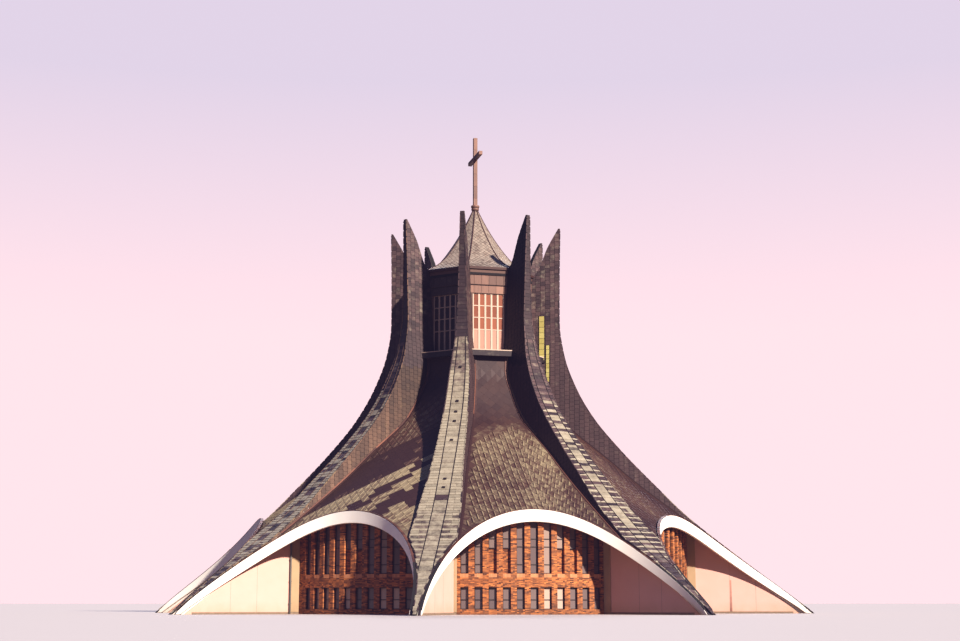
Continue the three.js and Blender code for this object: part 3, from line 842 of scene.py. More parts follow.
def skin_slope(height):
    at = np.clip(height, SKIN_LOW + 0.05, SKIN_HIGH - 0.05)
    return (skin_radius(at + 0.05) - skin_radius(at - 0.05)) / 0.1


def rib_inner(height):
    """Inner edge of the rib: just under the roof skin, then beside the lantern, then the fin's back."""
    h = np.asarray(height, float)
    clipped = np.clip(h, SKIN_LOW, SKIN_HIGH)
    under = skin_radius(clipped) - SKIN_THICKNESS * np.hypot(1, skin_slope(clipped)) - 0.12
    depth = rib_radius(SKIN_LOW) - under
    under = np.where(h < SKIN_LOW, rib_radius(h) - depth, under)
    under = np.where(h >= SKIN_HIGH, BESIDE_LANTERN, under)
    fin_low = FIN_INNER[0][0]
    return np.where(h >= fin_low, fin_inner(np.maximum(h, fin_low)), under)


rib_shell = Shell()
ring_heights = np.unique(np.concatenate([
    np.interp(np.arange(0, edge_length[-1], 0.6), edge_length, rib_heights),
    [h for h, _ in FIN_INNER], [SKIN_LOW, SKIN_HIGH, RIB_TOP],
]))
DEPTH_POINTS = 7
SHEET, CORE, FLANK_SHEET, ROOF_LINE, RENDERED = range(5)
RENDERED_TOP = 7.2
rings = []
for h in ring_heights:
    lean = float(rib_radius(h + 0.05) - rib_radius(max(h - 0.05, 0))) / 0.1
    inner, outer = float(rib_inner(h)), float(rib_radius(h)) - (FACE_SINK + 0.006) * math.hypot(1, lean)
    radii = np.linspace(inner, max(outer, inner + 0.02), DEPTH_POINTS)
    halves = np.maximum(rib_half(radii, h) - FACE_SINK, 0.02)
    left = [(-w, -r, h) for w, r in zip(halves, radii)]
    right = [(w, -r, h) for w, r in zip(halves[::-1], radii[::-1])]
    rings.append(left + right)
ring_size = 2 * DEPTH_POINTS
ring_points = [p for ring in rings for p in ring]
core = rib_shell.new_plate(0, 0, -1)
sides_of_core = ring_faces(len(rings), ring_size)
outer_faces = (DEPTH_POINTS - 2, DEPTH_POINTS - 1, DEPTH_POINTS)
rendered = [
    face for face in sides_of_core
    if ring_heights[face[0] // ring_size] < RENDERED_TOP and face[0] % ring_size not in outer_faces
]
last = (len(rings) - 1) * ring_size
ends = [list(range(ring_size))[::-1], [last + i for i in range(ring_size)]]
rib_shell.add(ring_points, [face for face in sides_of_core if face not in rendered] + ends, CORE, core)
rib_shell.add(ring_points, rendered, RENDERED, core)
print("rib edge", round(float(edge_length[-1]), 2), "m long,", len(rings), "rings")

# %% [markdown]
# The rib's sheets are laid next. A course is a few sheets wide at the bottom of the building and a single
# sheet near the top. Each sheet's lower edge stands proud of the one below, which catches the light as a
# thin line. Seam battens and corner flashings cover the long edges.


# %% Rib sheets, battens and flashings
def surface_over(lengths, heights, radius, sunk):
    """Points over an upright profile, from metres across and metres up it, raised by lift."""

    def at(across, along, lift):
        h, h0, h1 = (np.interp(along + step, lengths, heights) for step in (0, -0.02, 0.02))
        rise, run = h1 - h0, radius(h1) - radius(h0)
        length = np.hypot(rise, run)
        proud = np.asarray(lift) - sunk
        return np.stack([across, -(radius(h) + proud * rise / length), h - proud * run / length], axis=-1)

    return at


face_surface = surface_over(edge_length, rib_heights, rib_radius, FACE_SINK)


def flank_surface(side):
    """Points on a rib's flank from distance out and height."""

    def at(radius, height, lift):
        half = np.maximum(rib_half(radius, height) - FACE_SINK + np.asarray(lift), 0.01)
        return np.stack([side * half, -radius, height], axis=-1)

    return at


def edge_height(along):
    return np.interp(along, edge_length, rib_heights)


def face_half(along):
    h = edge_height(along)
    return rib_half(rib_radius(h), h) - 0.05


def middle_half(along):
    return np.minimum(0.45, 0.25 * rib_width(edge_height(along)))


PLAIN_FROM = float(np.interp(19.8, rib_heights, edge_length))
COURSE = 0.273
MIDDLE, SIDE, PLAIN, FLANK, TRIM, EDGE, HEM = 1, 2, 3, 4, 5, 6, 7
HEM_INSIDE, HEM_OUTSIDE = 0.2, 0.1
SEAM_HALF, SPLIT_FROM = 0.03, 0.75
face_plates = []


def sheet_outline(a0, a1, b0, b1, s0, s1, low=0.024, high=0.006, joint=0.007):
    """A sheet between two edges that may taper: a is the lower pair of ends, b the upper pair."""
    foot = s0 + 0.002
    return [(a0 + joint, foot, low), (a1 - joint, foot, low), (b1 - joint, s1, high), (b0 + joint, s1, high)]


along = 0.15
course = 0
while along < edge_length[-1] - 0.1:
    top = min(along + COURSE, edge_length[-1] - 0.02)
    low_half, high_half = float(face_half(along)), float(face_half(top))
    low_middle, high_middle = float(middle_half(along)) + SEAM_HALF, float(middle_half(top)) + SEAM_HALF
    h = float(edge_height(along))
    if along >= PLAIN_FROM:
        plate = rib_shell.new_plate(0, h, PLAIN, course)
        face_plates.append((sheet_outline(-low_half, low_half, -high_half, high_half, along, top), plate))
    else:
        low_core, high_core = min(low_middle - 0.05, low_half), min(high_middle - 0.05, high_half)
        if low_core > 0.06:
            plate = rib_shell.new_plate(0, h, MIDDLE, course)
            lifts = (0.015, 0.006) if course % 2 else (0.024, 0.015)
            outline = sheet_outline(-low_core, low_core, -high_core, high_core, along, top, *lifts)
            face_plates.append((outline, plate))
        for side in (-1, 1):
            count = 2 if low_half - low_middle > SPLIT_FROM and course % 3 else 1
            for part in range(count):
                edges = []
                for half, middle in ((low_half, low_middle), (high_half, high_middle)):
                    if half < middle + 0.06:
                        break
                    span = (half - middle) / count
                    edges.append((middle + part * span, middle + (part + 1) * span))
                if len(edges) < 2:
                    continue
                (a0, a1), (b0, b1) = edges
                ends = (a0, a1, b0, b1) if side > 0 else (-a1, -a0, -b1, -b0)
                plate = rib_shell.new_plate(side, h, SIDE, course)
                face_plates.append((sheet_outline(*ends, along, top), plate))
                if course % 2:
                    continue
                inner, outer = (a0 + 0.02, a1 - 0.02) if side > 0 else (-a0 - 0.02, -a1 + 0.02)
                hem = [
                    (inner, along + 0.006, 0.03), (outer, along + 0.006, 0.03),
                    (outer, along + HEM_OUTSIDE, 0.025), (inner, along + HEM_INSIDE, 0.02),
                ]
                plate = rib_shell.new_plate(side, h, HEM, course)
                face_plates.append((facing(hem, side), plate))
    along = top
    course += 1

lay_plates(rib_shell, face_plates, face_surface, SHEET, low=-0.01)


def long_strip(centre, width, proud, start, end, kind, pieces=0.9, gap=0.0):
    """A narrow batten or flashing that follows a line up the rib's face, in lengths."""
    outlines = []
    s, half = start, width / 2
    while s < end - 0.05:
        t = min(s + pieces, end)
        c0, c1 = centre(s), centre(t)
        if c0 is not None and c1 is not None:
            low, high = (s, proud), (t - gap, proud)
            outline = [(c0 - half, *low), (c0 + half, *low), (c1 + half, *high), (c1 - half, *high)]
            outlines.append((outline, rib_shell.new_plate(c0, s, kind)))
        s += pieces
    lay_plates(rib_shell, outlines, face_surface, FLANK_SHEET)


for side in (-1, 1):
    long_strip(
        lambda s, k=side: k * float(middle_half(s)) if face_half(s) > middle_half(s) + 0.05 else None,
        0.035, 0.036, 0.6, PLAIN_FROM, TRIM,
    )
    long_strip(
        lambda s, k=side: k * (float(face_half(s)) + 0.005), 0.08, 0.034,
        0.46, edge_length[-1] - 0.05, EDGE, pieces=2 * COURSE, gap=0.1,
    )
print("sheets on a rib's face", len(face_plates))

# %% [markdown]
# The flanks are cut from a grid of upright strips. The outline of a flank runs from the roof skin, the ledge
# and the lantern's side to the rib's outer edge, and each panel is trimmed by straight lines through those
# two curves at its own height, which is exact enough for panels under half a metre.


# %% Rib flanks
def flank_base(height):
    """Where the flank's cladding starts: at the roof skin, then beside the lantern."""
    h = np.asarray(height, float)
    on_skin = skin_radius(np.clip(h, SKIN_LOW, SKIN_HIGH)) - 0.05
    beside = np.where(h > SKIN_HIGH, BESIDE_LANTERN, on_skin)
    fin_bend = FIN_INNER[1][0]
    return np.where(h >= fin_bend, fin_inner(np.maximum(h, fin_bend)), beside)


STRIP, CROSS_JOINT, CORNER_ROOM = 0.37, 0.32, 0.04
SHELTERED_RIB, SHELTERED_TOP = 7, 18.0
flank_outlines = []
low_row = int(4.5 / CROSS_JOINT)
for column in range(int(4.0 / STRIP), int(20 / STRIP)):
    r0, r1 = column * STRIP, (column + 1) * STRIP
    shift = (column * STRIP % 1) * CROSS_JOINT
    for row in range(low_row, int(RIB_TOP / CROSS_JOINT) + 1):
        z0 = row * CROSS_JOINT + shift
        z1 = min(z0 + CROSS_JOINT, RIB_TOP)
        if z0 >= RIB_TOP:
            continue
        outer0, outer1 = float(rib_radius(z0)) - CORNER_ROOM, float(rib_radius(z1)) - CORNER_ROOM
        inner0, inner1 = float(flank_base(z0)), float(flank_base(z1))
        if r0 > max(outer0, outer1) or r1 < min(inner0, inner1):
            continue
        panel = flat_plate(r0 + 0.012, r1 - 0.012, z0 + 0.008, z1 - 0.004, 0.024, 0.008)
        panel = trim_all(panel, ((outer0, z0), (outer1, z1)), ((inner1, z1), (inner0, z0)))
        if len(panel) < 3 or area(panel) < 0.003:
            continue
        flank_outlines.append((panel, r0, z0, column))
for side in (-1, 1):
    by_finish = {SHEET: [], FLANK_SHEET: []}
    for panel, r0, z0, column in flank_outlines:
        plate = rib_shell.new_plate(side * r0, z0, FLANK, column)
        finish = FLANK_SHEET if z0 < SHELTERED_TOP else SHEET
        by_finish[finish].append((facing(panel, -side), plate))
    for finish, plates in by_finish.items():
        lay_plates(rib_shell, plates, flank_surface(side), finish, low=-0.01)

ROOF_LINE_LENGTH, ROOF_LINE_LIFT = 0.8, 0.05
for side in (-1, 1):
    outlines = []
    for z in np.arange(5.4, 18.6, ROOF_LINE_LENGTH):
        (r0, z0), (r1, z1) = ((float(skin_radius(h)), h) for h in (z, z + ROOF_LINE_LENGTH))
        strip = [(r0 - 0.02, z0), (r0 + 0.13, z0 + 0.09), (r1 + 0.13, z1 + 0.09), (r1 - 0.02, z1)]
        strip = [(r, h, ROOF_LINE_LIFT) for r, h in strip]
        plate = rib_shell.new_plate(side, z, TRIM)
        outlines.append((facing(strip, -side), plate))
    lay_plates(rib_shell, outlines, flank_surface(side), ROOF_LINE)
rib_mesh = make_mesh("rib_clad", rib_shell, [rib_copper, felt, rib_copper, trim_copper, white_render])
print("flank panels", 2 * len(flank_outlines), "faces on a rib", len(rib_shell.faces))

# %% [markdown]
# The ribs' faces have gone pale up to the lantern's sill, where they stop at a level line and stay dark
# above. No two ribs have weathered alike. One is cream all over with a single dark sheet. On the next, the
# side sheets are still dark and only their folded hems are pale, which makes a ladder, and long pale
# stretches fill the middle. A third has dark stretches in the middle only. The flanks stay brown, strip by
# strip. The shaded left flanks of the two ribs beside the front bay are painted darker, as painted shade,
# and the trim along the roof is painted pale or at full tone over two short stretches where the low sun
# would light it: painted highlights.


# %% Looks of the ribs
CREAM, LADDER, DASHES = 0, 1, 2
PATTERN = {1: LADDER, 2: LADDER, 3: DASHES, 4: CREAM, 5: LADDER, 6: DASHES, 7: DASHES, 8: CREAM}
LADDER_BREAKS = (12.1, 14.26, 15.27, 17.7, 19.65, 20.6, 21.4)
PALE_UP_TO = {CREAM: 20.9, LADDER: 14.2, DASHES: 15.5}
CREAM_PATCH = (12.2, 12.7)
BARE_SHARE_FROM, BARER_FROM = 15.5, 17.4


def dark_sheets(pattern, random, other):
    """Which sheets of a rib's face are still dark, and which side sheets of a cream rib are dulled."""
    _, height, kind, course = rib_shell.columns()
    middle, sides, hem = kind == MIDDLE, kind == SIDE, kind == HEM
    along = np.interp(height, rib_heights, edge_length) + COURSE / 2
    odd = course % 2 == 1
    dark = (middle | sides) & (random < (0 if pattern == CREAM else 0.02))
    if pattern == LADDER:
        dark |= sides & (random > 0.06)
        for gap in LADDER_BREAKS:
            dark |= middle & (np.abs(along - gap) < COURSE / 2)
        dark |= middle & (height < 5.6) & odd
        dark |= (middle | sides | hem) & (height < 3.3 + 0.5 * other)
    elif pattern == DASHES:
        dark |= middle & ((course + np.floor(course / 11)) % 5 > 1)
        dark |= (sides | hem) & (random > 0.92)
    else:
        dark |= middle & (along > CREAM_PATCH[0]) & (along < CREAM_PATCH[1])
    return dark, (pattern == CREAM) & sides & (height < 6.4) & odd & (random > 0.3)


def rib_looks(number):
    """Shares from 0 to 1 for each plate: first the face, then the flanks, then edges, seams and core."""
    side, height, kind, course = rib_shell.columns()
    rng = np.random.default_rng(200 + number)
    random, other = rng.random(len(side)), rng.random(len(side))
    pattern = PATTERN[number]
    middle, hem, flank = kind == MIDDLE, kind == HEM, kind == FLANK
    shown = middle | (kind == SIDE) | hem
    dark, dulled = dark_sheets(pattern, random, other)
    faded = np.clip((height - PALE_UP_TO[pattern]) / 1.2, 0, 1) > other
    pale = np.where(middle, 0.72, 0.82)
    patina = np.where(dark, 0.1 + 0.2 * other, pale + 0.2 * (other - 0.4))
    patina = np.where(dulled, 0.52, patina)
    patina = np.where(shown & faded, 0.04 + 0.24 * other, patina)
    patina = np.where(middle & (height > BARE_SHARE_FROM) & ~faded, 0.45 + 0.2 * other, patina)
    patina = np.where(shown & (height > BARER_FROM) & ~faded, 0.34 + 0.2 * other, patina)
    tone = np.where(hem, 0.9, 0.15 + 0.8 * random)
    worn = 0.13 * np.clip((9 - height) / 3, 0, 1) * (pattern == CREAM) * shown
    patina, tone = patina - worn * (0.5 + other), tone - worn
    patina = np.where(kind == PLAIN, 0.04 + 0.1 * random, patina)
    tone = np.where(kind == PLAIN, 0.2 + 0.2 * random, tone)

    by_strip = np.random.default_rng(900 + number).random(80)[np.clip(course, 0, 79).astype(int)]
    fin = np.clip((height - 20) / 2, 0, 1)
    sunlit = (number == SHELTERED_RIB) & (side > 0)
    golden = sunlit & (height < SHELTERED_TOP)
    dimmed = np.where(sunlit, 0.22 * np.clip((height - 14) / 4, 0, 1) * np.clip((26 - height) / 6, 0, 1), 0)
    flank_patina = 0.04 * golden + 0.03 + 0.05 * by_strip + (0.02 + 0.18 * fin) * random
    flank_tone = 0.55 + (0.22 + 0.25 * golden) * by_strip - 0.2 * golden - dimmed
    flank_tone = flank_tone + (0.16 + 0.44 * fin) * (other - 0.5)
    patina, tone = np.where(flank, flank_patina, patina), np.where(flank, flank_tone, tone)
    # Painted shade: the left flanks of the two ribs beside the front bay stand in shade and are painted
    # darker, darkest above 18 m.
    painted_shade_flank = flank & (side < 0) & np.isin(number, (1, 8))
    patina, tone = np.where(painted_shade_flank, 0.0, patina), np.where(painted_shade_flank, (0.35 + 0.15 * random) * (height < 18), tone)

    notched = (kind == EDGE) & (height < PALE_UP_TO[pattern]) & (random > 0.75 - 0.04 * height)
    patina = np.where(kind == EDGE, np.where(notched, 0.55, 0.1), patina)
    at_roof = (kind == TRIM) & (np.abs(side) == 1)
    # Painted highlight: the roof-line trim on the left flank of the rib right of the front bay is painted
    # pale above 12 m, where the sun would light it.
    painted_highlight_line = at_roof & (side < 0) & (height > 12) & (number == 1)
    patina = np.where((kind == TRIM) | (kind < 0), np.where(painted_highlight_line, 0.8, 0.05), patina)
    # Painted highlight: on the right flank of the rib left of the front bay, a short stretch of the trim is
    # at full tone, where the sun lights it.
    painted_lit_stretch = at_roof & (side > 0) & (np.abs(height - 15.5) < 1.9) & (number == 8)
    seam_tone = 0.05 + (0.15 + 0.6 * other) * (number == SHELTERED_RIB)
    tone = np.where(kind == TRIM, np.where(painted_lit_stretch, 1.0, seam_tone), tone)
    tone = np.where(kind < 0, 0.1, tone)
    return {"tone": np.clip(tone, 0, 1), "patina": np.clip(patina, 0, 1)}


for number in range(1, BAYS + 1):
    clad_rib = make_piece(
        f"clad_rib_{number}", rib_mesh, [f"rib_{number}"], "rib_cladding", number - 0.5, rib_shell,
        **rib_looks(number),
    )
    if number == SHELTERED_RIB:
        clad_rib.data.materials[FLANK_SHEET] = sheltered_copper
print("ribs placed", BAYS)

# %% [markdown]
# Seven small dark fittings sit on the middle strip of the front left rib, at uneven heights. They are taken
# as roof hooks, the flat steel loops that a roofer's ladder hangs from. Each is a folded plate.


# %% Roof hooks
HOOKS_ALONG = (13.4, 14.26, 18.28, 20.22, 21.16, 22.16, 25.18)
HOOK_HALF = 0.11


def roof_hooks():
    shell = Shell()
    outlines = []
    for along in HOOKS_ALONG:
        for low, high, proud in ((along - 0.05, along + 0.05, 0.07), (along + 0.05, along + 0.16, 0.045)):
            outline = flat_plate(-HOOK_HALF, HOOK_HALF, low, high, proud, proud - 0.02)
            outlines.append((outline, shell.new_plate(0, along)))
    lay_plates(shell, outlines, face_surface, 0, low=0.0)
    return shell


hooks = roof_hooks()
hooks_mesh = make_mesh("roof_hooks", hooks, [window_steel])
make_piece("roof_hooks", hooks_mesh, [], "rib_cladding", 7.5, hooks, tone=0.3)
print("roof hooks", len(HOOKS_ALONG))

# %% [markdown]
# ## White arches
# Each arch is a band of painted render that carries the edge of the roof, deepest at its crown and thinner
# at its feet. It stands about 0.3 m above the shingles behind it, so its back and top are wrapped in
# copper, which shows as a thin red-brown line along the white edge; where the top is steep, on the legs,
# the wrap takes the dark felt finish. The band is lofted from many short lengths and its front edges are
# slightly rounded, so that the light rolls over them. The arches on both sides of the front bay, which the
# lamp lights at a slant, are painted whiter than the rest: painted light.

# %% Arch bands
ARCH_LENGTHS = 96
EDGE_ROUNDING, TOP_ROOM, WRAP_DROP = 0.03, 0.03, 0.045
WHITE, BACK, WRAP, STEEP_WRAP = 0, 1, 2, 3


def arch_section(t):
    """Corners of the band at a place across the bay: front, back and rounded front edges."""
    reach = abs(t) / ARCH_HALF_SPAN
    depth = FASCIA_DEPTH + (FASCIA_FOOT_DEPTH - FASCIA_DEPTH) * reach**6
    top = float(arch_height(t))
    bottom = max(top - depth, 0.0)
    top = max(top, bottom + 0.01)
    r = min(EDGE_ROUNDING, (top - bottom) / 4)
    fx, fo = behind_arch(t, 0.0)
    rx, ro = behind_arch(t, r)
    bx, bo = behind_arch(t, FASCIA_THICKNESS)
    under = max(top - TOP_ROOM, 0.0)
    return [
        (rx, -ro, bottom), (bx, -bo, bottom), (bx, -bo, under), (rx, -ro, under),
        (fx, -fo, max(top - TOP_ROOM - r, 0.0)), (fx, -fo, bottom + r),
    ]


def arch_band():
    """The band in white, its back in dark copper, and a folded length over each part of its top: copper, dark
    felt where the top is steep.
    """
    shell = Shell()
    turns = np.linspace(-math.pi / 2, math.pi / 2, ARCH_LENGTHS + 1)
    places = ARCH_HALF_SPAN * np.sin(turns)
    sections = [arch_section(float(t)) for t in places]
    size = len(sections[0])
    skin = {False: [], True: []}
    for a, b, c, d in ring_faces(len(sections), size):
        skin[a % size in (1, 2)].append([a, d, c, b])
    white, dark = shell.new_plate(0, 0, WHITE), shell.new_plate(0, 0, BACK)
    shell.add([p for section in sections for p in section], skin[False], WHITE, white)
    shell.add([], skin[True], BACK, dark, start=0)
    for t0, t1 in zip(places.tolist(), places[1:].tolist()):
        h0, h1 = float(arch_height(t0)), float(arch_height(t1))
        if min(h0, h1) < 0.25:
            continue
        corners = []
        for t, h in ((t0, h0), (t1, h1)):
            front, back = behind_arch(t, 0.004), behind_arch(t, FASCIA_THICKNESS - 0.004)
            corners.append(((front[0], -front[1], h), (back[0], -back[1], h)))
        (f0, b0), (f1, b1) = corners
        low = [(x, y, z - WRAP_DROP) for x, y, z in (f0, f1, b1, b0)]
        steep = abs(h1 - h0) > 1.1 * abs(t1 - t0)
        shell.add(
            [f0, f1, b1, b0, *low], [[0, 1, 2, 3], [0, 4, 5, 1], [1, 5, 6, 2], [2, 6, 7, 3], [3, 7, 4, 0]],
            STEEP_WRAP if steep else WRAP, shell.new_plate(t0, h0, WRAP),
        )
    print("lengths of copper on an arch", len(shell.plates) - 2)
    return shell


arch_shell = arch_band()
arch_mesh = make_mesh("white_arch", arch_shell, [white_render, rib_copper, trim_copper, felt])
arch_mesh.shade_smooth()
arch_mesh.set_sharp_from_angle(angle=math.radians(35))
kinds = arch_shell.columns()[2]
for bay in range(1, BAYS + 1):
    rng = np.random.default_rng(300 + bay)
    # Painted light: the white of the arches of bays 2 and 8, on both sides of the front bay, which the key
    # lamp lights at a slant, is painted lighter.
    paint = 0.85 if bay in (2, 8) else 0.45
    tones = np.where(kinds == WHITE, paint, np.where(kinds == BACK, 0.15, 0.2 + 0.4 * rng.random(len(kinds))))
    make_piece(
        f"white_arch_{bay}", arch_mesh, [f"arch_fascia_{bay}"], "white_render", bay - 1, arch_shell,
        tone=tones, patina=0.1,
    )
print("arches placed", BAYS)

# %% [markdown]
# ## Brick walls
# The wall under an arch is a slice of a round drum, 0.5 m thick, with an opening every 0.93 m. What stands
# between two openings is a brick pier a brick and a half wide. Every brick is a small block, 250 x 120 x
# 65 mm with 11 mm joints, laid in bond: each course starts half a brick further on. Behind the brick faces a
# body of mortar closes the joints. A band of brick crosses the wall between the storeys. Each upper window
# stands on seven pale bricks set upright, and some start higher over a recessed brick panel.

# %% Measures of the wall
DRUM_RADIUS, DRUM_THICKNESS, DRUM_TOP = 16.0, 0.5, 6.15
DRUM_END = math.radians(18.6)
MODULE = math.radians(3.34)
WINDOW_WIDTH = 0.54
LOWER_SILL, LOWER_HEAD = 0.33, 1.76
UPPER_SILL, RAISED_SILL, UPPER_HEAD = 2.65, 4.28, 6.0
PANEL_RECESS, SILL_DEPTH, SILL_BRICKS = 0.25, 0.25, 7
BRICK_COURSE, BRICK_JOINT, HALF_BRICK = 0.075, 0.011, 0.13
SECOND_ROW, SECOND_DEPTH = 0.25, 0.245
BRICK, SILL_BRICK, MORTAR = 0, 1, 2


def wall_place(turn):
    """Puts (across, depth behind the face, height) at an angle from the bay's centre."""
    c, s = math.cos(turn), math.sin(turn)

    def at(x, back, z):
        out = DRUM_RADIUS - back
        return (x * c + out * s, x * s - out * c, z)

    return at


BOX_SIDES = [[0, 4, 5, 1], [4, 6, 7, 5], [2, 0, 1, 3], [1, 5, 7, 3], [0, 2, 6, 4]]
BOX_REAR = [6, 2, 3, 7]


def block(shell, at, x0, x1, back0, back1, z0, z1, finish, plate=None, rear=False):
    """A block, without its rear face where nothing shows it."""
    points = [at(x, b, z) for x in (x0, x1) for b in (back0, back1) for z in (z0, z1)]
    plate = shell.new_plate() if plate is None else plate
    shell.add(points, [*BOX_SIDES, BOX_REAR] if rear else BOX_SIDES, finish, plate)


def bond(width, odd):
    """Brick ends along a course: whole bricks on one course, half a brick shift on the next."""
    units = max(1, round(width / HALF_BRICK))
    marks = [0]
    if odd:
        marks.append(1)
    while marks[-1] < units:
        marks.append(min(marks[-1] + 2, units))
    return [(a * width / units, b * width / units) for a, b in zip(marks, marks[1:]) if b > a]


def brickwork(shell, turn, x0, x1, z0, z1, back=0.0, thick=0.24, finish=BRICK, first=0):
    """Fills a panel with bricks in bond."""
    at = wall_place(turn)
    courses = max(1, round((z1 - z0) / BRICK_COURSE))
    step = (z1 - z0) / courses
    half = BRICK_JOINT / 2
    for course in range(courses):
        z = z0 + course * step
        for a, b in bond(x1 - x0, (course + first) % 2):
            plate = shell.new_plate(turn, z, finish)
            left = x0 + a + (half if a > 0 else 0)
            right = x0 + b - (half if b < x1 - x0 - 1e-6 else 0)
            block(shell, at, left, right, back, back + thick, z + half, z + step - half, finish, plate)


def mortar_body(shell, turn, x0, x1, z0, z1, back=0.006):
    sink, deep = 0.006, DRUM_THICKNESS - 0.004
    plate = shell.new_plate(turn, z0, MORTAR)
    block(shell, wall_place(turn), x0 + sink, x1 - sink, back, deep, z0, z1, MORTAR, plate, rear=True)


def window_places(on_centre):
    """Each window's place in modules from the bay's centre, and whether the upper one starts higher."""
    most = 5 if on_centre else 4.5
    higher = (2, 3) if on_centre else (0.5,)
    return [(k, abs(k) in higher) for k in np.arange(-most, most + 0.5, 1.0)]


def brick_wall(on_centre):
    """Piers of two bricks' depth with mortar behind, then what closes the wall between them."""
    shell = Shell()
    places = window_places(on_centre)
    most = places[-1][0]
    window_half = WINDOW_WIDTH / 2
    pier_half = DRUM_RADIUS * math.tan(MODULE / 2) - window_half
    for k in np.arange(-most - 0.5, most + 1.0, 1.0):
        turn = k * MODULE
        x0, x1 = -pier_half, pier_half
        if abs(k) > most:
            outer = DRUM_RADIUS * math.tan(DRUM_END - abs(turn))
            x0, x1 = (-pier_half, outer) if k > 0 else (-outer, pier_half)
        brickwork(shell, turn, x0, x1, 0.0, DRUM_TOP)
        brickwork(shell, turn, x0, x1, 0.0, DRUM_TOP, back=SECOND_ROW, thick=SECOND_DEPTH, first=1)
        mortar_body(shell, turn, x0, x1, 0.0, DRUM_TOP)
    sill_low = UPPER_SILL - SILL_DEPTH
    pitch = WINDOW_WIDTH / SILL_BRICKS
    for k, raised in places:
        turn = k * MODULE
        sides = (-window_half, window_half)
        for z0, z1 in ((0.0, LOWER_SILL), (LOWER_HEAD, sill_low), (UPPER_HEAD, DRUM_TOP)):
            brickwork(shell, turn, *sides, z0, z1)
            mortar_body(shell, turn, *sides, z0, z1)
        mortar_body(shell, turn, *sides, sill_low, UPPER_SILL - 0.01)
        for i in range(SILL_BRICKS):
            left = -window_half + i * pitch
            plate = shell.new_plate(turn, UPPER_SILL, SILL_BRICK)
            block(
                shell, wall_place(turn), left + 0.005, left + pitch - 0.005, 0.0, 0.24,
                sill_low + 0.005, UPPER_SILL, SILL_BRICK, plate,
            )
        if raised:
            brickwork(shell, turn, *sides, UPPER_SILL, RAISED_SILL, back=PANEL_RECESS, thick=0.2)
            mortar_body(shell, turn, *sides, UPPER_SILL, RAISED_SILL - 0.005, back=PANEL_RECESS + 0.006)
    return shell


brick_shells, brick_meshes = {}, {}
for on_centre in (True, False):
    shell = brick_wall(on_centre)
    brick_shells[on_centre] = shell
    brick_meshes[on_centre] = make_mesh("brick_wall_laid", shell, [brick_clay, sill_clay, lime_mortar])
for bay in range(1, BAYS + 1):
    shell = brick_shells[bay % 2 == 1]
    rng = np.random.default_rng(400 + bay)
    tones = rng.beta(2.4, 1.8, len(shell.plates))
    tones = np.where(rng.random(len(tones)) < 0.05, 0.15, tones)
    make_piece(
        f"laid_brick_wall_{bay}", brick_meshes[bay % 2 == 1], [f"brick_wall_{bay}"], "brick", bay - 1, shell,
        tone=tones,
    )
print("bricks in a wall", len(brick_shells[True].plates), "and", len(brick_shells[False].plates))

# %% [markdown]
# ## Window bars
# The windows are double. The outer sash stands 160 mm behind the brick face, with a bar across the lower
# window and three across a tall upper one, in rolled steel about 50 mm wide. One joined mesh holds all of a
# bay's outer sashes with their panes. The inner glass is the CAD model's own ring, with a better material.


# %% Window frames
FRAME, PANE = 0, 1
SASH_BAR, SASH_NEAR, SASH_FAR, SASH_PLAY = 0.05, 0.16, 0.22, 0.004
PANE_DEPTHS = (SASH_FAR - 0.02, SASH_FAR - 0.01)
LOWER_RAILS, RAISED_RAILS, UPPER_RAILS = (0.93,), (4.9,), (3.22, 4.38, 4.9)


def window_bars(on_centre):
    shell = Shell()
    outer = WINDOW_WIDTH / 2 - SASH_PLAY
    inner = outer - SASH_BAR
    for k, raised in window_places(on_centre):
        turn = k * MODULE
        at = wall_place(turn)
        upper = (RAISED_SILL, UPPER_HEAD, RAISED_RAILS) if raised else (UPPER_SILL, UPPER_HEAD, UPPER_RAILS)
        for sill, head, rails in ((LOWER_SILL, LOWER_HEAD, LOWER_RAILS), upper):
            z0, z1 = sill + SASH_PLAY, head - SASH_PLAY
            bars = [(-outer, -inner, z0, z1), (inner, outer, z0, z1)]
            bars += [(-inner, inner, z, z + SASH_BAR) for z in (z0, z1 - SASH_BAR, *rails)]
            for x0, x1, low, high in bars:
                block(shell, at, x0, x1, SASH_NEAR, SASH_FAR, low, high, FRAME, rear=True)
            pane, low, high = shell.new_plate(turn, z0, PANE), z0 + SASH_BAR, z1 - SASH_BAR
            block(shell, at, -inner, inner, *PANE_DEPTHS, low, high, PANE, pane, rear=True)
    return shell


def pane_tones(shell, bay):
    """Most panes are dark. Two windows of the front bay are pale, for blinds and a painted reflection, and in
    other bays chance picks.
    """
    turn, bottom, kind, _ = shell.columns()
    random = np.random.default_rng(700 + bay).random(len(turn))
    pale = np.isin(np.round(turn / MODULE), (1, 2)) if bay == 1 else random > 0.85
    tone = np.where(pale, np.where(bottom < LOWER_HEAD, 1.0, 0.55), 0.25 * random)
    return np.where(kind == PANE, tone, 0.5)


bars_made = 0
for bay in range(1, BAYS + 1):
    shell = window_bars(bay % 2 == 1)
    bars_made += len(shell.plates)
    mesh = make_mesh("window_bars", shell, [window_steel, window_glass])
    make_piece(f"window_bars_{bay}", mesh, [], "window_glass", bay - 1, shell, tone=pane_tones(shell, bay))


def refinish(node, material):
    """Puts a better material in the slots of a CAD node's object, whose mesh stays as it is."""
    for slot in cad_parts[node].material_slots:
        slot.material = material


for name in ("lower_window_glass", "upper_window_glass"):
    refinish(name, window_glass)
for name in ("ground_floor", "nave_floor"):
    refinish(name, cast_concrete)
print("bars and panes in all bays", bars_made)

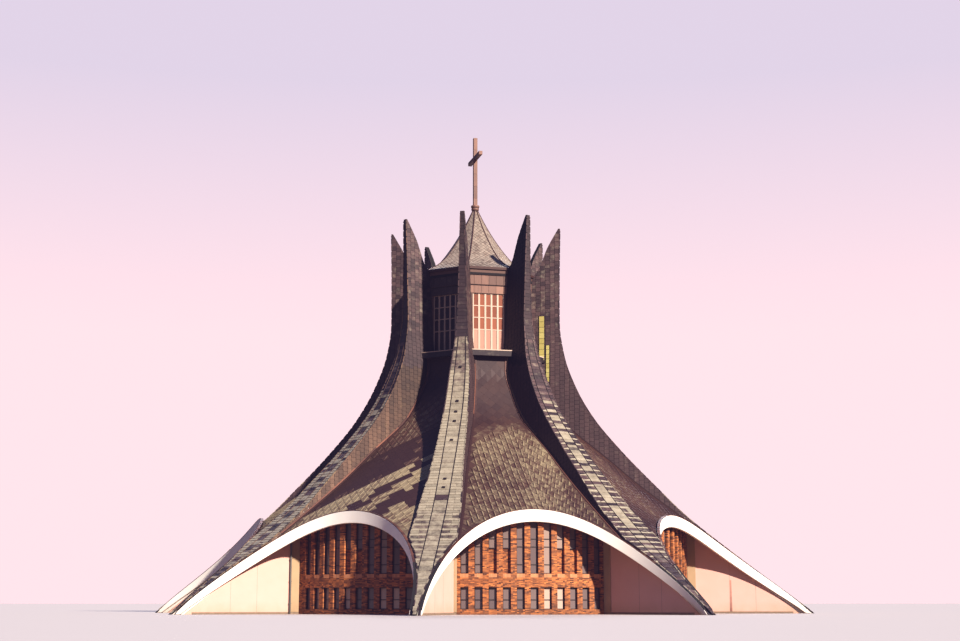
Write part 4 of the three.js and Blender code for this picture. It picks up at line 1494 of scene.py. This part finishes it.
# %% [markdown]
# ## Wing walls
# The white walls beside the brick are the flanks of the buttresses under the ribs. They are plain rendered
# planes, kept from the CAD model. What makes them read as walls is added: a low cement plinth at the
# ground, upright joints where one day's render ended, a strip of white render where the brick stops,
# painted beige as the shade that the arch casts on it, and a zinc downpipe beside it on one side.

# %% Wing wall joints, plinths, strips and pipes
BUTTRESS_OUTER_RADIUS, BUTTRESS_OUTER_HALF = 24.3, 0.15
MEET = HALF_BAY - DRUM_END
PLINTH_TOP, STRIP_WIDTH = 0.14, 0.62


def wing_flank(side):
    """Start and end of a wing wall's face in plan, in the rib's axes, and its outward direction."""
    start = np.array([side * (DRUM_RADIUS * math.sin(MEET) - GAP), -DRUM_RADIUS * math.cos(MEET)])
    end = np.array([side * BUTTRESS_OUTER_HALF, -BUTTRESS_OUTER_RADIUS])
    along = (end - start) / np.linalg.norm(end - start)
    outward = np.array([along[1], -along[0]])
    if outward[0] * side < 0:
        outward = -outward
    return start, along, outward, float(np.linalg.norm(end - start))


def wing_block(shell, side, s0, s1, z0, z1, low, high, finish):
    """A block on a wing wall's face, from low to high metres in front of it. Tops may differ at both ends."""
    start, along, outward, _ = wing_flank(side)
    tops = z1 if isinstance(z1, tuple) else (z1, z1)
    points = []
    for s, top in ((s0, tops[0]), (s1, tops[1])):
        for off in (high, low):
            x, y = start + along * s + outward * off
            points += [(x, y, z0), (x, y, top)]
    faces = [*BOX_SIDES, BOX_REAR]
    faces = [face[::-1] for face in faces] if side < 0 else faces
    shell.add(points, faces, finish, shell.new_plate(s0, z0, finish))


underside_heights = np.linspace(0, 8, 161)[::-1]
underside_radii = rib_inner(underside_heights)


def under_rib(side, s):
    """Height of the rib's underside over a place on the wing wall's face."""
    start, along, _, _ = wing_flank(side)
    return float(np.interp(-(start + along * s)[1], underside_radii, underside_heights))


RENDER_JOINTS = (3.1, 5.0)


def wing_shell():
    shell = Shell()
    for side in (-1, 1):
        length = wing_flank(side)[3]
        reach = [s for s in np.arange(0.1, length, 0.1) if under_rib(side, s) > 0.4]
        wing_block(shell, side, 0.0, max(reach), 0.0, PLINTH_TOP, 0.001, 0.02, 0)
        for s in RENDER_JOINTS:
            top = under_rib(side, s)
            if top > 0.6:
                wing_block(shell, side, s, s + 0.012, PLINTH_TOP, top - 0.05, 0.0005, 0.004, 1)
        tops = (under_rib(side, 0.0) - 0.02, under_rib(side, STRIP_WIDTH) - 0.02)
        # The strip beside the brick: white render painted beige, as painted shade.
        wing_block(shell, side, 0.02, STRIP_WIDTH, PLINTH_TOP, tops, 0.001, 0.05, 2)
    return shell


wing = wing_shell()
wing_mesh = make_mesh("wing_wall_trim", wing, [grey_plinth, lime_mortar, shade_painted_strip_render])
for number in range(1, BAYS + 1):
    make_piece(f"wing_wall_trim_{number}", wing_mesh, [], "white_render", number - 0.5, wing, tone=0.6)
    refinish(f"buttress_{number}", bare_render)


STAIN_PLACE, STAIN_TOP = 3.17, 2.4


def rust_stain():
    """A long brown streak down the wing wall of the second rib, widest and darkest at the ground."""
    shell = Shell()
    marks = np.linspace(0.0, STAIN_TOP, 7)
    for low, high in zip(marks, marks[1:]):
        half = 0.06 + 0.03 * (1 - low / STAIN_TOP)
        wing_block(shell, -1, STAIN_PLACE - half, STAIN_PLACE + half, low, high, 0.0005, 0.0045, 0)
    return shell


stain = rust_stain()
stain_mesh = make_mesh("rust_stain", stain, [rusty_render])
stain_tones = np.clip(stain.columns()[1] / STAIN_TOP, 0, 1)
make_piece("rust_stain", stain_mesh, [], "white_render", 1.5, stain, tone=stain_tones)


def downpipe():
    """A round zinc pipe on brackets beside the strip, with a bend to the wall at its top."""
    shell = Shell()
    side, s, radius = 1, STRIP_WIDTH + 0.08, 0.06
    start, along, outward, _ = wing_flank(side)
    top = under_rib(side, s) - 0.1
    centre = start + along * s + outward * 0.11
    path = [(0.0, 0.05), (0.0, top - 0.35), (-0.03, top - 0.2), (-0.09, top - 0.06)]
    corners = 10
    points = []
    for off, z in path:
        for i in range(corners):
            turn = 2 * math.pi * i / corners
            x, y = centre + outward * (off + radius * math.cos(turn)) + along * radius * math.sin(turn)
            points.append((x, y, z))
    faces = ring_faces(len(path), corners)
    faces.append([len(points) - corners + i for i in range(corners)])
    faces.append(list(range(corners))[::-1])
    shell.add(points, faces, 0, shell.new_plate())
    for z in (0.7, 2.2, 3.7, top - 0.6):
        if z < top:
            wing_block(shell, side, s - 0.08, s + 0.08, z, z + 0.04, 0.0005, 0.175, 0)
    return shell


pipe = downpipe()
pipe_mesh = make_mesh("downpipe", pipe, [zinc])
pipe_mesh.shade_smooth()
pipe_mesh.set_sharp_from_angle(angle=math.radians(40))
for number in (1, 3, 5, 7):
    make_piece(f"downpipe_{number}", pipe_mesh, [], "white_render", number - 0.5, pipe, tone=0.5)
print("wing walls dressed", BAYS)

# %% [markdown]
# ## Lantern
# The lantern is an eight-sided box of copper sheet. Each side holds a tall window between two fins, over a
# ledge with a pale edge. The bars are cream: four uprights and three crossbars make five columns of four
# panes. Every amber pane is its own small plate with its own redness, and the bottom row is paler. The side
# to the left of the front lies in shade and is painted darker still, as painted shade: its bands, bars and
# panes take their darkest tones, and its bottom row is amber like the rest, where the photograph shows all
# rows alike. The CAD wall stays under it all. Copper bands above the window cover the wall's plain face,
# and two thin strips of dark felt between them paint the shadow lines under the frieze and under the eaves.

# %% Lantern
LANTERN_FACE = 4.17
LEDGE_FACE, LEDGE_BOTTOM, LEDGE_TOP = 5.25, 18.881, 19.33
LANTERN_SILL, WINDOW_HEAD, WINDOW_HALF = 19.35, 23.8, 1.23
LINTEL_TOP, FRIEZE_TOP, LANTERN_TOP = 24.45, 25.25, 25.65
PANE_COLUMNS, PANE_ROWS, BOTTOM_PANE_TOP = 5, 4, 21.04
LANTERN_BAR, FRAME_BACK, FRAME_DEEP = 0.14, 0.06, 0.14
BAND_SHEETS = 6
BANDS = ((WINDOW_HEAD + 0.02, LINTEL_TOP - 0.05, 0.02), (LINTEL_TOP + 0.03, FRIEZE_TOP - 0.04, 0.085))
# Painted shadow: two strips of dark felt, under the frieze and under the eaves, paint the shadow lines there.
PAINTED_SHADOW_STRIPS = ((LINTEL_TOP - 0.05, LINTEL_TOP + 0.03, 0.03), (FRIEZE_TOP - 0.04, FRIEZE_TOP + 0.14, 0.135))
BAND, BAR, AMBER, PEACH, LEDGE_FACING, PAINTED_SHADOW_FINISH = range(6)
LEDGE = 9


def face_place(face):
    """Puts (across, depth behind the face, height) on a flat side at a distance from the axis."""
    return lambda x, back, z: (x, -(face - back), z)


def lantern_side():
    shell = Shell()
    at, ledge = face_place(LANTERN_FACE), face_place(LEDGE_FACE)
    half, bar = WINDOW_HALF - 0.02, LANTERN_BAR / 2
    x_edges = np.linspace(-half, half, PANE_COLUMNS + 1)
    z_edges = [LANTERN_SILL + 0.02, *np.linspace(BOTTOM_PANE_TOP, WINDOW_HEAD - 0.02, PANE_ROWS)]
    for x in x_edges:
        block(shell, at, x - bar, x + bar, FRAME_BACK, FRAME_DEEP, z_edges[0], z_edges[-1], BAR, rear=True)
    for z in z_edges:
        block(shell, at, -half, half, FRAME_BACK + 0.015, FRAME_DEEP, z - 0.035, z + 0.035, BAR, rear=True)
    for c in range(PANE_COLUMNS):
        for r in range(PANE_ROWS):
            x0, x1 = x_edges[c] + bar, x_edges[c + 1] - bar
            z0, z1 = z_edges[r] + 0.028, z_edges[r + 1] - 0.028
            pane, glass = shell.new_plate(c, r, 2), AMBER if r else PEACH
            block(shell, at, x0, x1, 0.1, 0.12, z0, z1, glass, pane, rear=True)
    width = LANTERN_FACE * math.tan(HALF_BAY)
    for z0, z1, proud in BANDS:
        for i in range(BAND_SHEETS):
            x0, x1 = (-width + 2 * width * (i + j) / BAND_SHEETS for j in (0, 1))
            block(shell, at, x0 + 0.012, x1 - 0.012, -proud, 0.02, z0, z1, BAND, shell.new_plate(i, z0, 0))
    # Painted shadow: dark felt strips where the frieze and the eaves throw their shadow lines.
    for z0, z1, proud in PAINTED_SHADOW_STRIPS:
        block(shell, at, -width, width, -proud, 0.02, z0, z1, PAINTED_SHADOW_FINISH)
    width = LEDGE_FACE * math.tan(HALF_BAY)
    block(shell, ledge, -width, width, -0.03, 0.3, LEDGE_TOP - 0.05, LEDGE_TOP + 0.02, BAR)
    sheet = shell.new_plate(0, 0, LEDGE)
    block(shell, ledge, -width, width, -0.015, 0.1, LEDGE_BOTTOM, LEDGE_TOP - 0.06, LEDGE_FACING, sheet)
    return shell


SHADED_LANTERN_SIDE = 8
side_shell = lantern_side()
lantern_mesh = make_mesh(
    "lantern_side", side_shell, [lantern_copper, cream_steel, amber_glass, pale_glass, rib_copper, felt]
)
_, upper, kinds, _ = side_shell.columns()
for bay in range(1, BAYS + 1):
    tones = np.random.default_rng(500 + bay).random(len(upper))
    high = np.where(upper > LINTEL_TOP, 0.4 + 0.35 * tones, 0.75 + 0.25 * tones)
    tones = np.where(upper > WINDOW_HEAD, high, 0.5 + 0.45 * tones)
    tones[kinds == LEDGE] = 0.1
    # Painted shade: the side left of the front, in the fin's shadow, gets the darkest tones on its bands,
    # bars and panes.
    if bay == SHADED_LANTERN_SIDE:
        tones = np.where(upper > WINDOW_HEAD, 0.1 * tones, 0.0)
    lantern_piece = make_piece(
        f"lantern_side_{bay}", lantern_mesh, ["lantern_glass"] if bay == 1 else [], "lantern_cladding",
        bay - 1, side_shell, tone=tones, patina=0.12,
    )
    # Painted shade: the shaded side's bottom row takes the dark amber glass as well.
    if bay == SHADED_LANTERN_SIDE:
        lantern_piece.data.materials[PEACH] = amber_glass
refinish("lantern_wall", bare_lantern_copper)
print("plates on a lantern side", len(side_shell.plates))

# %% [markdown]
# ## Light slots
# Two narrow upright slots with yellow glass stand on the flank of the fin to the right of the lantern, side
# by side and stepped. Each is a shallow steel frame with panes one above the other and a small dark sill.
# No other flank that the photograph shows has them, so they are made once.

# %% Light slots on one fin
SLOTS = [(5.06, 5.47, 19.1, 22.6), (5.6, 5.86, 17.4, 20.3)]


def light_slots():
    shell = Shell()
    surface = flank_surface(-1)
    for r0, r1, z0, z1 in SLOTS:
        marks = np.linspace(z0, z1, 9)
        frames, panes = [], []
        for low, high in zip(marks, marks[1:]):
            for outlines, edge, lift in ((frames, 0.04, 0.05), (panes, -0.012, 0.07)):
                outline = flat_plate(r0 - edge, r1 + edge, low - edge, high + edge, lift, lift)
                outlines.append((outline, shell.new_plate(r0, low)))
        lay_plates(shell, frames, surface, 1)
        lay_plates(shell, panes, surface, 0)
        sill = flat_plate(r0 - 0.06, r1 + 0.06, z0 - 0.2, z0 - 0.05, 0.12, 0.1)
        lay_plates(shell, [(sill, shell.new_plate(r0, z0, 2))], surface, 1)
    return shell


slot_shell = light_slots()
slot_mesh = make_mesh("light_slots", slot_shell, [yellow_glass, window_steel])
slot_tones = 0.3 + 0.7 * np.random.default_rng(12).random(len(slot_shell.plates))
make_piece("light_slots", slot_mesh, [], "amber_glass", 1.5, slot_shell, tone=slot_tones)
print("light slots", len(SLOTS))

# %% [markdown]
# ## Lantern roof
# The lantern's roof is bell-shaped, with eight hollow-curved sides of small diamond shingles and a copper
# roll along each hip. It stands in full light, so its crust is tan and pale green. Its side left of the
# front, in shade, is painted lighter and its front side darker: painted light. The same diamond grid
# serves again, on a surface that gives the distance of the flat side at each height.

# %% Bell roof
BELL = [
    (25.85, 4.4), (26.4, 3.42), (27.05, 2.68), (28.25, 1.8), (29.44, 1.09), (30.5, 0.56), (31.3, 0.2),
]
bell_face = curve_through(BELL)
bell_heights = np.linspace(BELL[0][0], BELL[-1][0], 400)
bell_slope = length_up(bell_heights, bell_face)
bell_surface = surface_over(bell_slope, bell_heights, bell_face, 0.02)
BELL_SHINGLE, BELL_LIFT = 0.24, 0.6
BELL_RINGS = 24
HIP_ROLL = ((-0.055, -0.03), (-0.04, 0.02), (0.0, 0.038), (0.04, 0.02), (0.055, -0.03))


def bell_shingles(shell):
    """Lays the small diamonds of one side, trimmed by both hips, the eaves and the post."""
    laid = []
    half, top = BELL_SHINGLE / math.sqrt(2), bell_slope[-1]
    widths = bell_face(bell_heights) * math.tan(HALF_BAY) - 0.02
    for row, column, corners in diamonds(BELL_SHINGLE, JOINT, 0.0, top, 2.2):
        v, u = row * half, column * half
        low_v, high_v = max(v - half, 0), min(v + half, top)
        if high_v <= low_v or abs(u) > np.interp(low_v, bell_slope, widths) + half:
            continue
        low_half, high_half = np.interp([low_v, high_v], bell_slope, widths)
        outline = trim_all(
            [(a, b, lift * BELL_LIFT) for a, b, lift in corners],
            *both_edges(low_half, low_v, high_half, high_v), ((-1, 0.01), (1, 0.01)), ((1, top), (-1, top)),
        )
        if len(outline) >= 3 and area(outline) >= 0.0008:
            laid.append((outline, shell.new_plate(u, v, 0)))
    lay_plates(shell, laid, bell_surface, 0, low=-0.005)


def bell_side():
    """One side of the roof: shingles, the boards under them, the eaves and the roll along a hip."""
    shell = Shell()
    bell_shingles(shell)
    tan, cos, sin = math.tan(HALF_BAY), math.cos(HALF_BAY), math.sin(HALF_BAY)
    core = shell.new_plate(0, 0, -1)
    h = np.interp(np.linspace(0, bell_slope[-1], BELL_RINGS), bell_slope, bell_heights)
    f = bell_face(h) - 0.03
    points = []
    for hi, fi in zip(h, f):
        w = fi * tan
        points += [(-w, -fi, hi), (w, -fi, hi)]
    faces = [[2 * r, 2 * r + 1, 2 * r + 3, 2 * r + 2] for r in range(BELL_RINGS - 1)]
    shell.add(points, faces, 1, core)
    high, eaves = BELL[0]
    low = LANTERN_TOP + 0.001
    for (f0, z0), (f1, z1) in (((eaves, high - 0.005), (eaves, low)), ((eaves, low), (eaves - 0.5, low))):
        ring = [(-f0 * tan, -f0, z0), (-f1 * tan, -f1, z1), (f1 * tan, -f1, z1), (f0 * tan, -f0, z0)]
        shell.add(ring, [[0, 1, 2, 3]], 2, shell.new_plate(0, 0, 1))
    for r in range(BELL_RINGS - 1):
        ends = []
        for hi, fi in ((h[r], f[r]), (h[r + 1], f[r + 1])):
            corner = (fi + 0.03) / cos
            for x, proud in HIP_ROLL:
                out = corner - 0.02 + proud
                ends.append((x * cos + out * sin, x * sin - out * cos, hi + 0.4 * proud))
        shell.add(ends, [[i, i + 1, i + 6, i + 5] for i in range(4)], 2, shell.new_plate(r, 0, 1))
    return shell


bell_shell = bell_side()
bell_mesh = make_mesh("bell_roof_side", bell_shell, [bell_copper, felt, trim_copper])
kinds = bell_shell.columns()[2]
for bay in range(1, BAYS + 1):
    rng = np.random.default_rng(600 + bay)
    patina = np.where(kinds == 0, 0.45 + 0.4 * rng.random(len(kinds)), 0.1)
    # Painted light: the side left of the front, in shade, is painted lighter, and the front side, in full
    # sun, darker.
    tones = {1: 0.05, 8: 0.3}.get(bay, 0.15) + 0.7 * rng.random(len(kinds))
    make_piece(
        f"bell_roof_side_{bay}", bell_mesh, ["lantern_roof"] if bay == 1 else [], "lantern_shingles",
        bay - 1, bell_shell, tone=np.where(kinds == 1, 0.15, tones), patina=patina,
    )
print("shingles on a bell side", len(bell_shell.plates))

# %% [markdown]
# ## Cross
# The cross is a square post and one arm, both clad in folded copper sheet about a metre long, with a collar
# of two rings where the post leaves the bell roof. Each sheet is a plate with its own shade, so the joints
# and the lit edges show.

# %% Cross
POST_SIDE, CROSS_TOP, COLLAR_LOW, COLLAR_TOP, COLLAR_RADIUS = 0.3, 37.29, 31.3, 31.72, 0.34
ARM_LENGTH, ARM_HEIGHT, ARM_SIDE = 3.55, 35.46, 0.28


def clad_bar(shell, low, high, axis, sheets):
    """A square bar along one axis, in sheets with a fine gap between them over a dark core."""
    low, high = np.array(low, float), np.array(high, float)
    marks = np.linspace(low[axis], high[axis], sheets + 1)
    for i in range(sheets + 1):
        a, b = low.copy(), high.copy()
        if i == sheets:
            a, b = low + 0.012, high - 0.012
            finish, kind = 1, -1
        else:
            a[axis], b[axis] = marks[i] + 0.006, marks[i + 1] - 0.006
            finish, kind = 0, 0
        plate = shell.new_plate(i, 0, kind)
        block(shell, lambda *p: p, a[0], b[0], a[1], b[1], a[2], b[2], finish, plate, rear=True)


def turned_ring(shell, radius, low, high, bulge, corners=20):
    """A rounded ring around the post."""
    inner = radius * 0.55
    profile = [(inner, low), (radius, low), (radius + bulge, (low + high) / 2), (radius, high), (inner, high)]
    points = []
    for r, z in profile:
        for i in range(corners):
            turn = 2 * math.pi * i / corners
            points.append((r * math.cos(turn), r * math.sin(turn), z))
    shell.add(points, ring_faces(len(profile), corners), 0, shell.new_plate(0, 0, 1))


def copper_cross():
    shell = Shell()
    half, arm_half = POST_SIDE / 2, ARM_SIDE / 2
    clad_bar(shell, (-half, -half, COLLAR_LOW + 0.01), (half, half, CROSS_TOP - 0.012), 2, 6)
    for sign in (-1, 1):
        ends = sorted((sign * half, sign * ARM_LENGTH / 2))
        clad_bar(shell, (-arm_half, ends[0], ARM_HEIGHT), (arm_half, ends[1], ARM_HEIGHT + ARM_SIDE), 1, 2)
    turned_ring(shell, COLLAR_RADIUS - 0.06, COLLAR_LOW + 0.01, COLLAR_LOW + 0.2, 0.03)
    turned_ring(shell, COLLAR_RADIUS - 0.03, COLLAR_LOW + 0.24, COLLAR_TOP, 0.028)
    return shell


cross_shell = copper_cross()
cross_mesh = make_mesh("copper_cross", cross_shell, [lantern_copper, felt])
cross_tones = 0.45 + 0.4 * np.random.default_rng(9).random(len(cross_shell.plates))
make_piece(
    "copper_clad_cross", cross_mesh, ["cross"], "copper", 0, cross_shell, tone=cross_tones, patina=0.16
)
print("faces on the cross", len(cross_shell.faces))

# %% [markdown]
# ## Floor, light and camera
# The church stands alone on a plain pale floor. The key lamp stands where the photograph's low sun is: the
# shadows of a fin on the bell roof and of a rib on the roof give its angle, 28 degrees to the right and 31
# degrees up. The shade is filled by dim surroundings, cool from above and warm from below, while the camera
# sees a pale backdrop behind the building, pink at the horizon and more lilac higher up. A weak lamp behind
# keeps the rear bays readable and touches nothing that the camera sees. The photograph is an aged print: its
# lights are hard and its blacks have faded to navy. A contrast look and slightly lifted blacks give the
# same. The camera stands where the photographer stood, at eye height about 118 m from the axis, and looks up
# by ten degrees.


# %% Floor
FLOOR_REACH = 900.0


def pale_floor():
    mesh = bpy.data.meshes.new("floor")
    corners = [(x * FLOOR_REACH, y * FLOOR_REACH, 0) for x, y in ((-1, -1), (1, -1), (1, 1), (-1, 1))]
    mesh.from_pydata(corners, [], [[0, 1, 2, 3]])
    material, _, shader = new_material("pale_studio_floor", Roughness=0.95)
    shader.inputs["Base Color"].default_value = linear("#b5aba8")
    mesh.materials.append(material)
    floor = bpy.data.objects.new("floor", mesh)
    bpy.context.scene.collection.objects.link(floor)
    floor.location.z = -0.004
    floor.visible_diffuse = False
    floor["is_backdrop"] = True


pale_floor()
print("floor made")

# %% Light
SUN_ANGLE, SUN_HEIGHT = math.radians(28), math.radians(31)
REAR_ANGLE, REAR_HEIGHT = math.radians(166), math.radians(38)


def soft_lamp(name, angle, height, energy, spread, colour):
    """A distant lamp, placed by its angle round the building from the front and by its height."""
    lamp = bpy.data.lights.new(name, "SUN")
    lamp.energy, lamp.angle, lamp.color = energy, math.radians(spread), colour
    lamp_object = bpy.data.objects.new(name, lamp)
    bpy.context.scene.collection.objects.link(lamp_object)
    across = math.cos(height)
    towards = Vector((math.sin(angle) * across, -math.cos(angle) * across, math.sin(height)))
    lamp_object.rotation_mode = "QUATERNION"
    lamp_object.rotation_quaternion = towards.to_track_quat("Z", "Y")
    print(name, "shines from", [round(v, 2) for v in towards])


soft_lamp("key_lamp", SUN_ANGLE, SUN_HEIGHT, 7.0, 2, (1.0, 0.9, 0.78))
soft_lamp("rear_lamp", REAR_ANGLE, REAR_HEIGHT, 1.3, 12, (0.86, 0.9, 1.0))

world = bpy.data.worlds.new("pale_surroundings")
world.use_nodes = True
sky = world.node_tree
backdrop = sky.nodes["Background"]
backdrop.inputs["Strength"].default_value = 1.0
upward = add_node(sky, "ShaderNodeTexCoord").outputs["Generated"]
upward = add_node(sky, "ShaderNodeSeparateXYZ", {"Vector": upward}).outputs["Z"]
climb = add_node(sky, "ShaderNodeMapRange", {"Value": upward, "From Min": 0.17, "From Max": 0.33})
haze = {0: climb.outputs["Result"], 6: linear("#f2d5db"), 7: linear("#d2c6d7")}
pinks = add_node(sky, "ShaderNodeMix", haze, data_type="RGBA")
sky.links.new(pinks.outputs[2], backdrop.inputs["Color"])
share = add_node(sky, "ShaderNodeMapRange", {"Value": upward, "From Min": -1.0, "From Max": 1.0})
ramp = add_node(sky, "ShaderNodeValToRGB", {"Fac": share.outputs["Result"]})
stops = ramp.color_ramp.elements
stops[0].position, stops[0].color = 0.44, linear("#8a6f61")
stops[1].position, stops[1].color = 0.85, linear("#6273a8")
level = stops.new(0.56)
level.color = linear("#535058")
fill = add_node(sky, "ShaderNodeBackground", {"Color": ramp.outputs["Color"], "Strength": 1.1})
seen = add_node(sky, "ShaderNodeLightPath").outputs["Is Camera Ray"]
both = add_node(sky, "ShaderNodeMixShader", {0: seen, 1: fill.outputs[0], 2: backdrop.outputs[0]})
sky.links.new(both.outputs[0], sky.nodes["World Output"].inputs["Surface"])
bpy.context.scene.world = world

# %% The aged print's contrast
print_look = bpy.context.scene.view_settings
print_look.view_transform = "Standard"
print_look.look = "Medium High Contrast"
print_look.use_curve_mapping = True
print_look.curve_mapping.black_level = (-0.013, -0.011, -0.024)
print_look.curve_mapping.update()
print("shown with", print_look.view_transform, "and", print_look.look)

# %% Camera
EYE = (-28.952, -114.39, 0.744)
LENS, SENSOR, LOOK_UP, TURN_RIGHT = 57.525, 36, 10.436, 14.389
camera = bpy.data.objects.new("camera", bpy.data.cameras.new("camera"))
camera.data.lens = LENS
camera.data.sensor_width = SENSOR
camera.data.clip_end = 3000
camera.location = [v * SCALE for v in EYE]
camera.rotation_euler = (math.radians(90 + LOOK_UP), 0, math.radians(-TURN_RIGHT))
bpy.context.scene.collection.objects.link(camera)
bpy.context.scene.camera = camera
print("camera at", [round(v, 2) for v in camera.location])

# %% [markdown]
# ## Sizes and the end
# Both boxes, the CAD model's and the dressed building's, are printed to compare. The dressed
# building must keep inside the CAD model's box.

scene_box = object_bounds()
for name, one in (("CAD", cad_box), ("scene", scene_box)):
    print(name, [round(v, 3) for v in (*one[0], *one[1])])
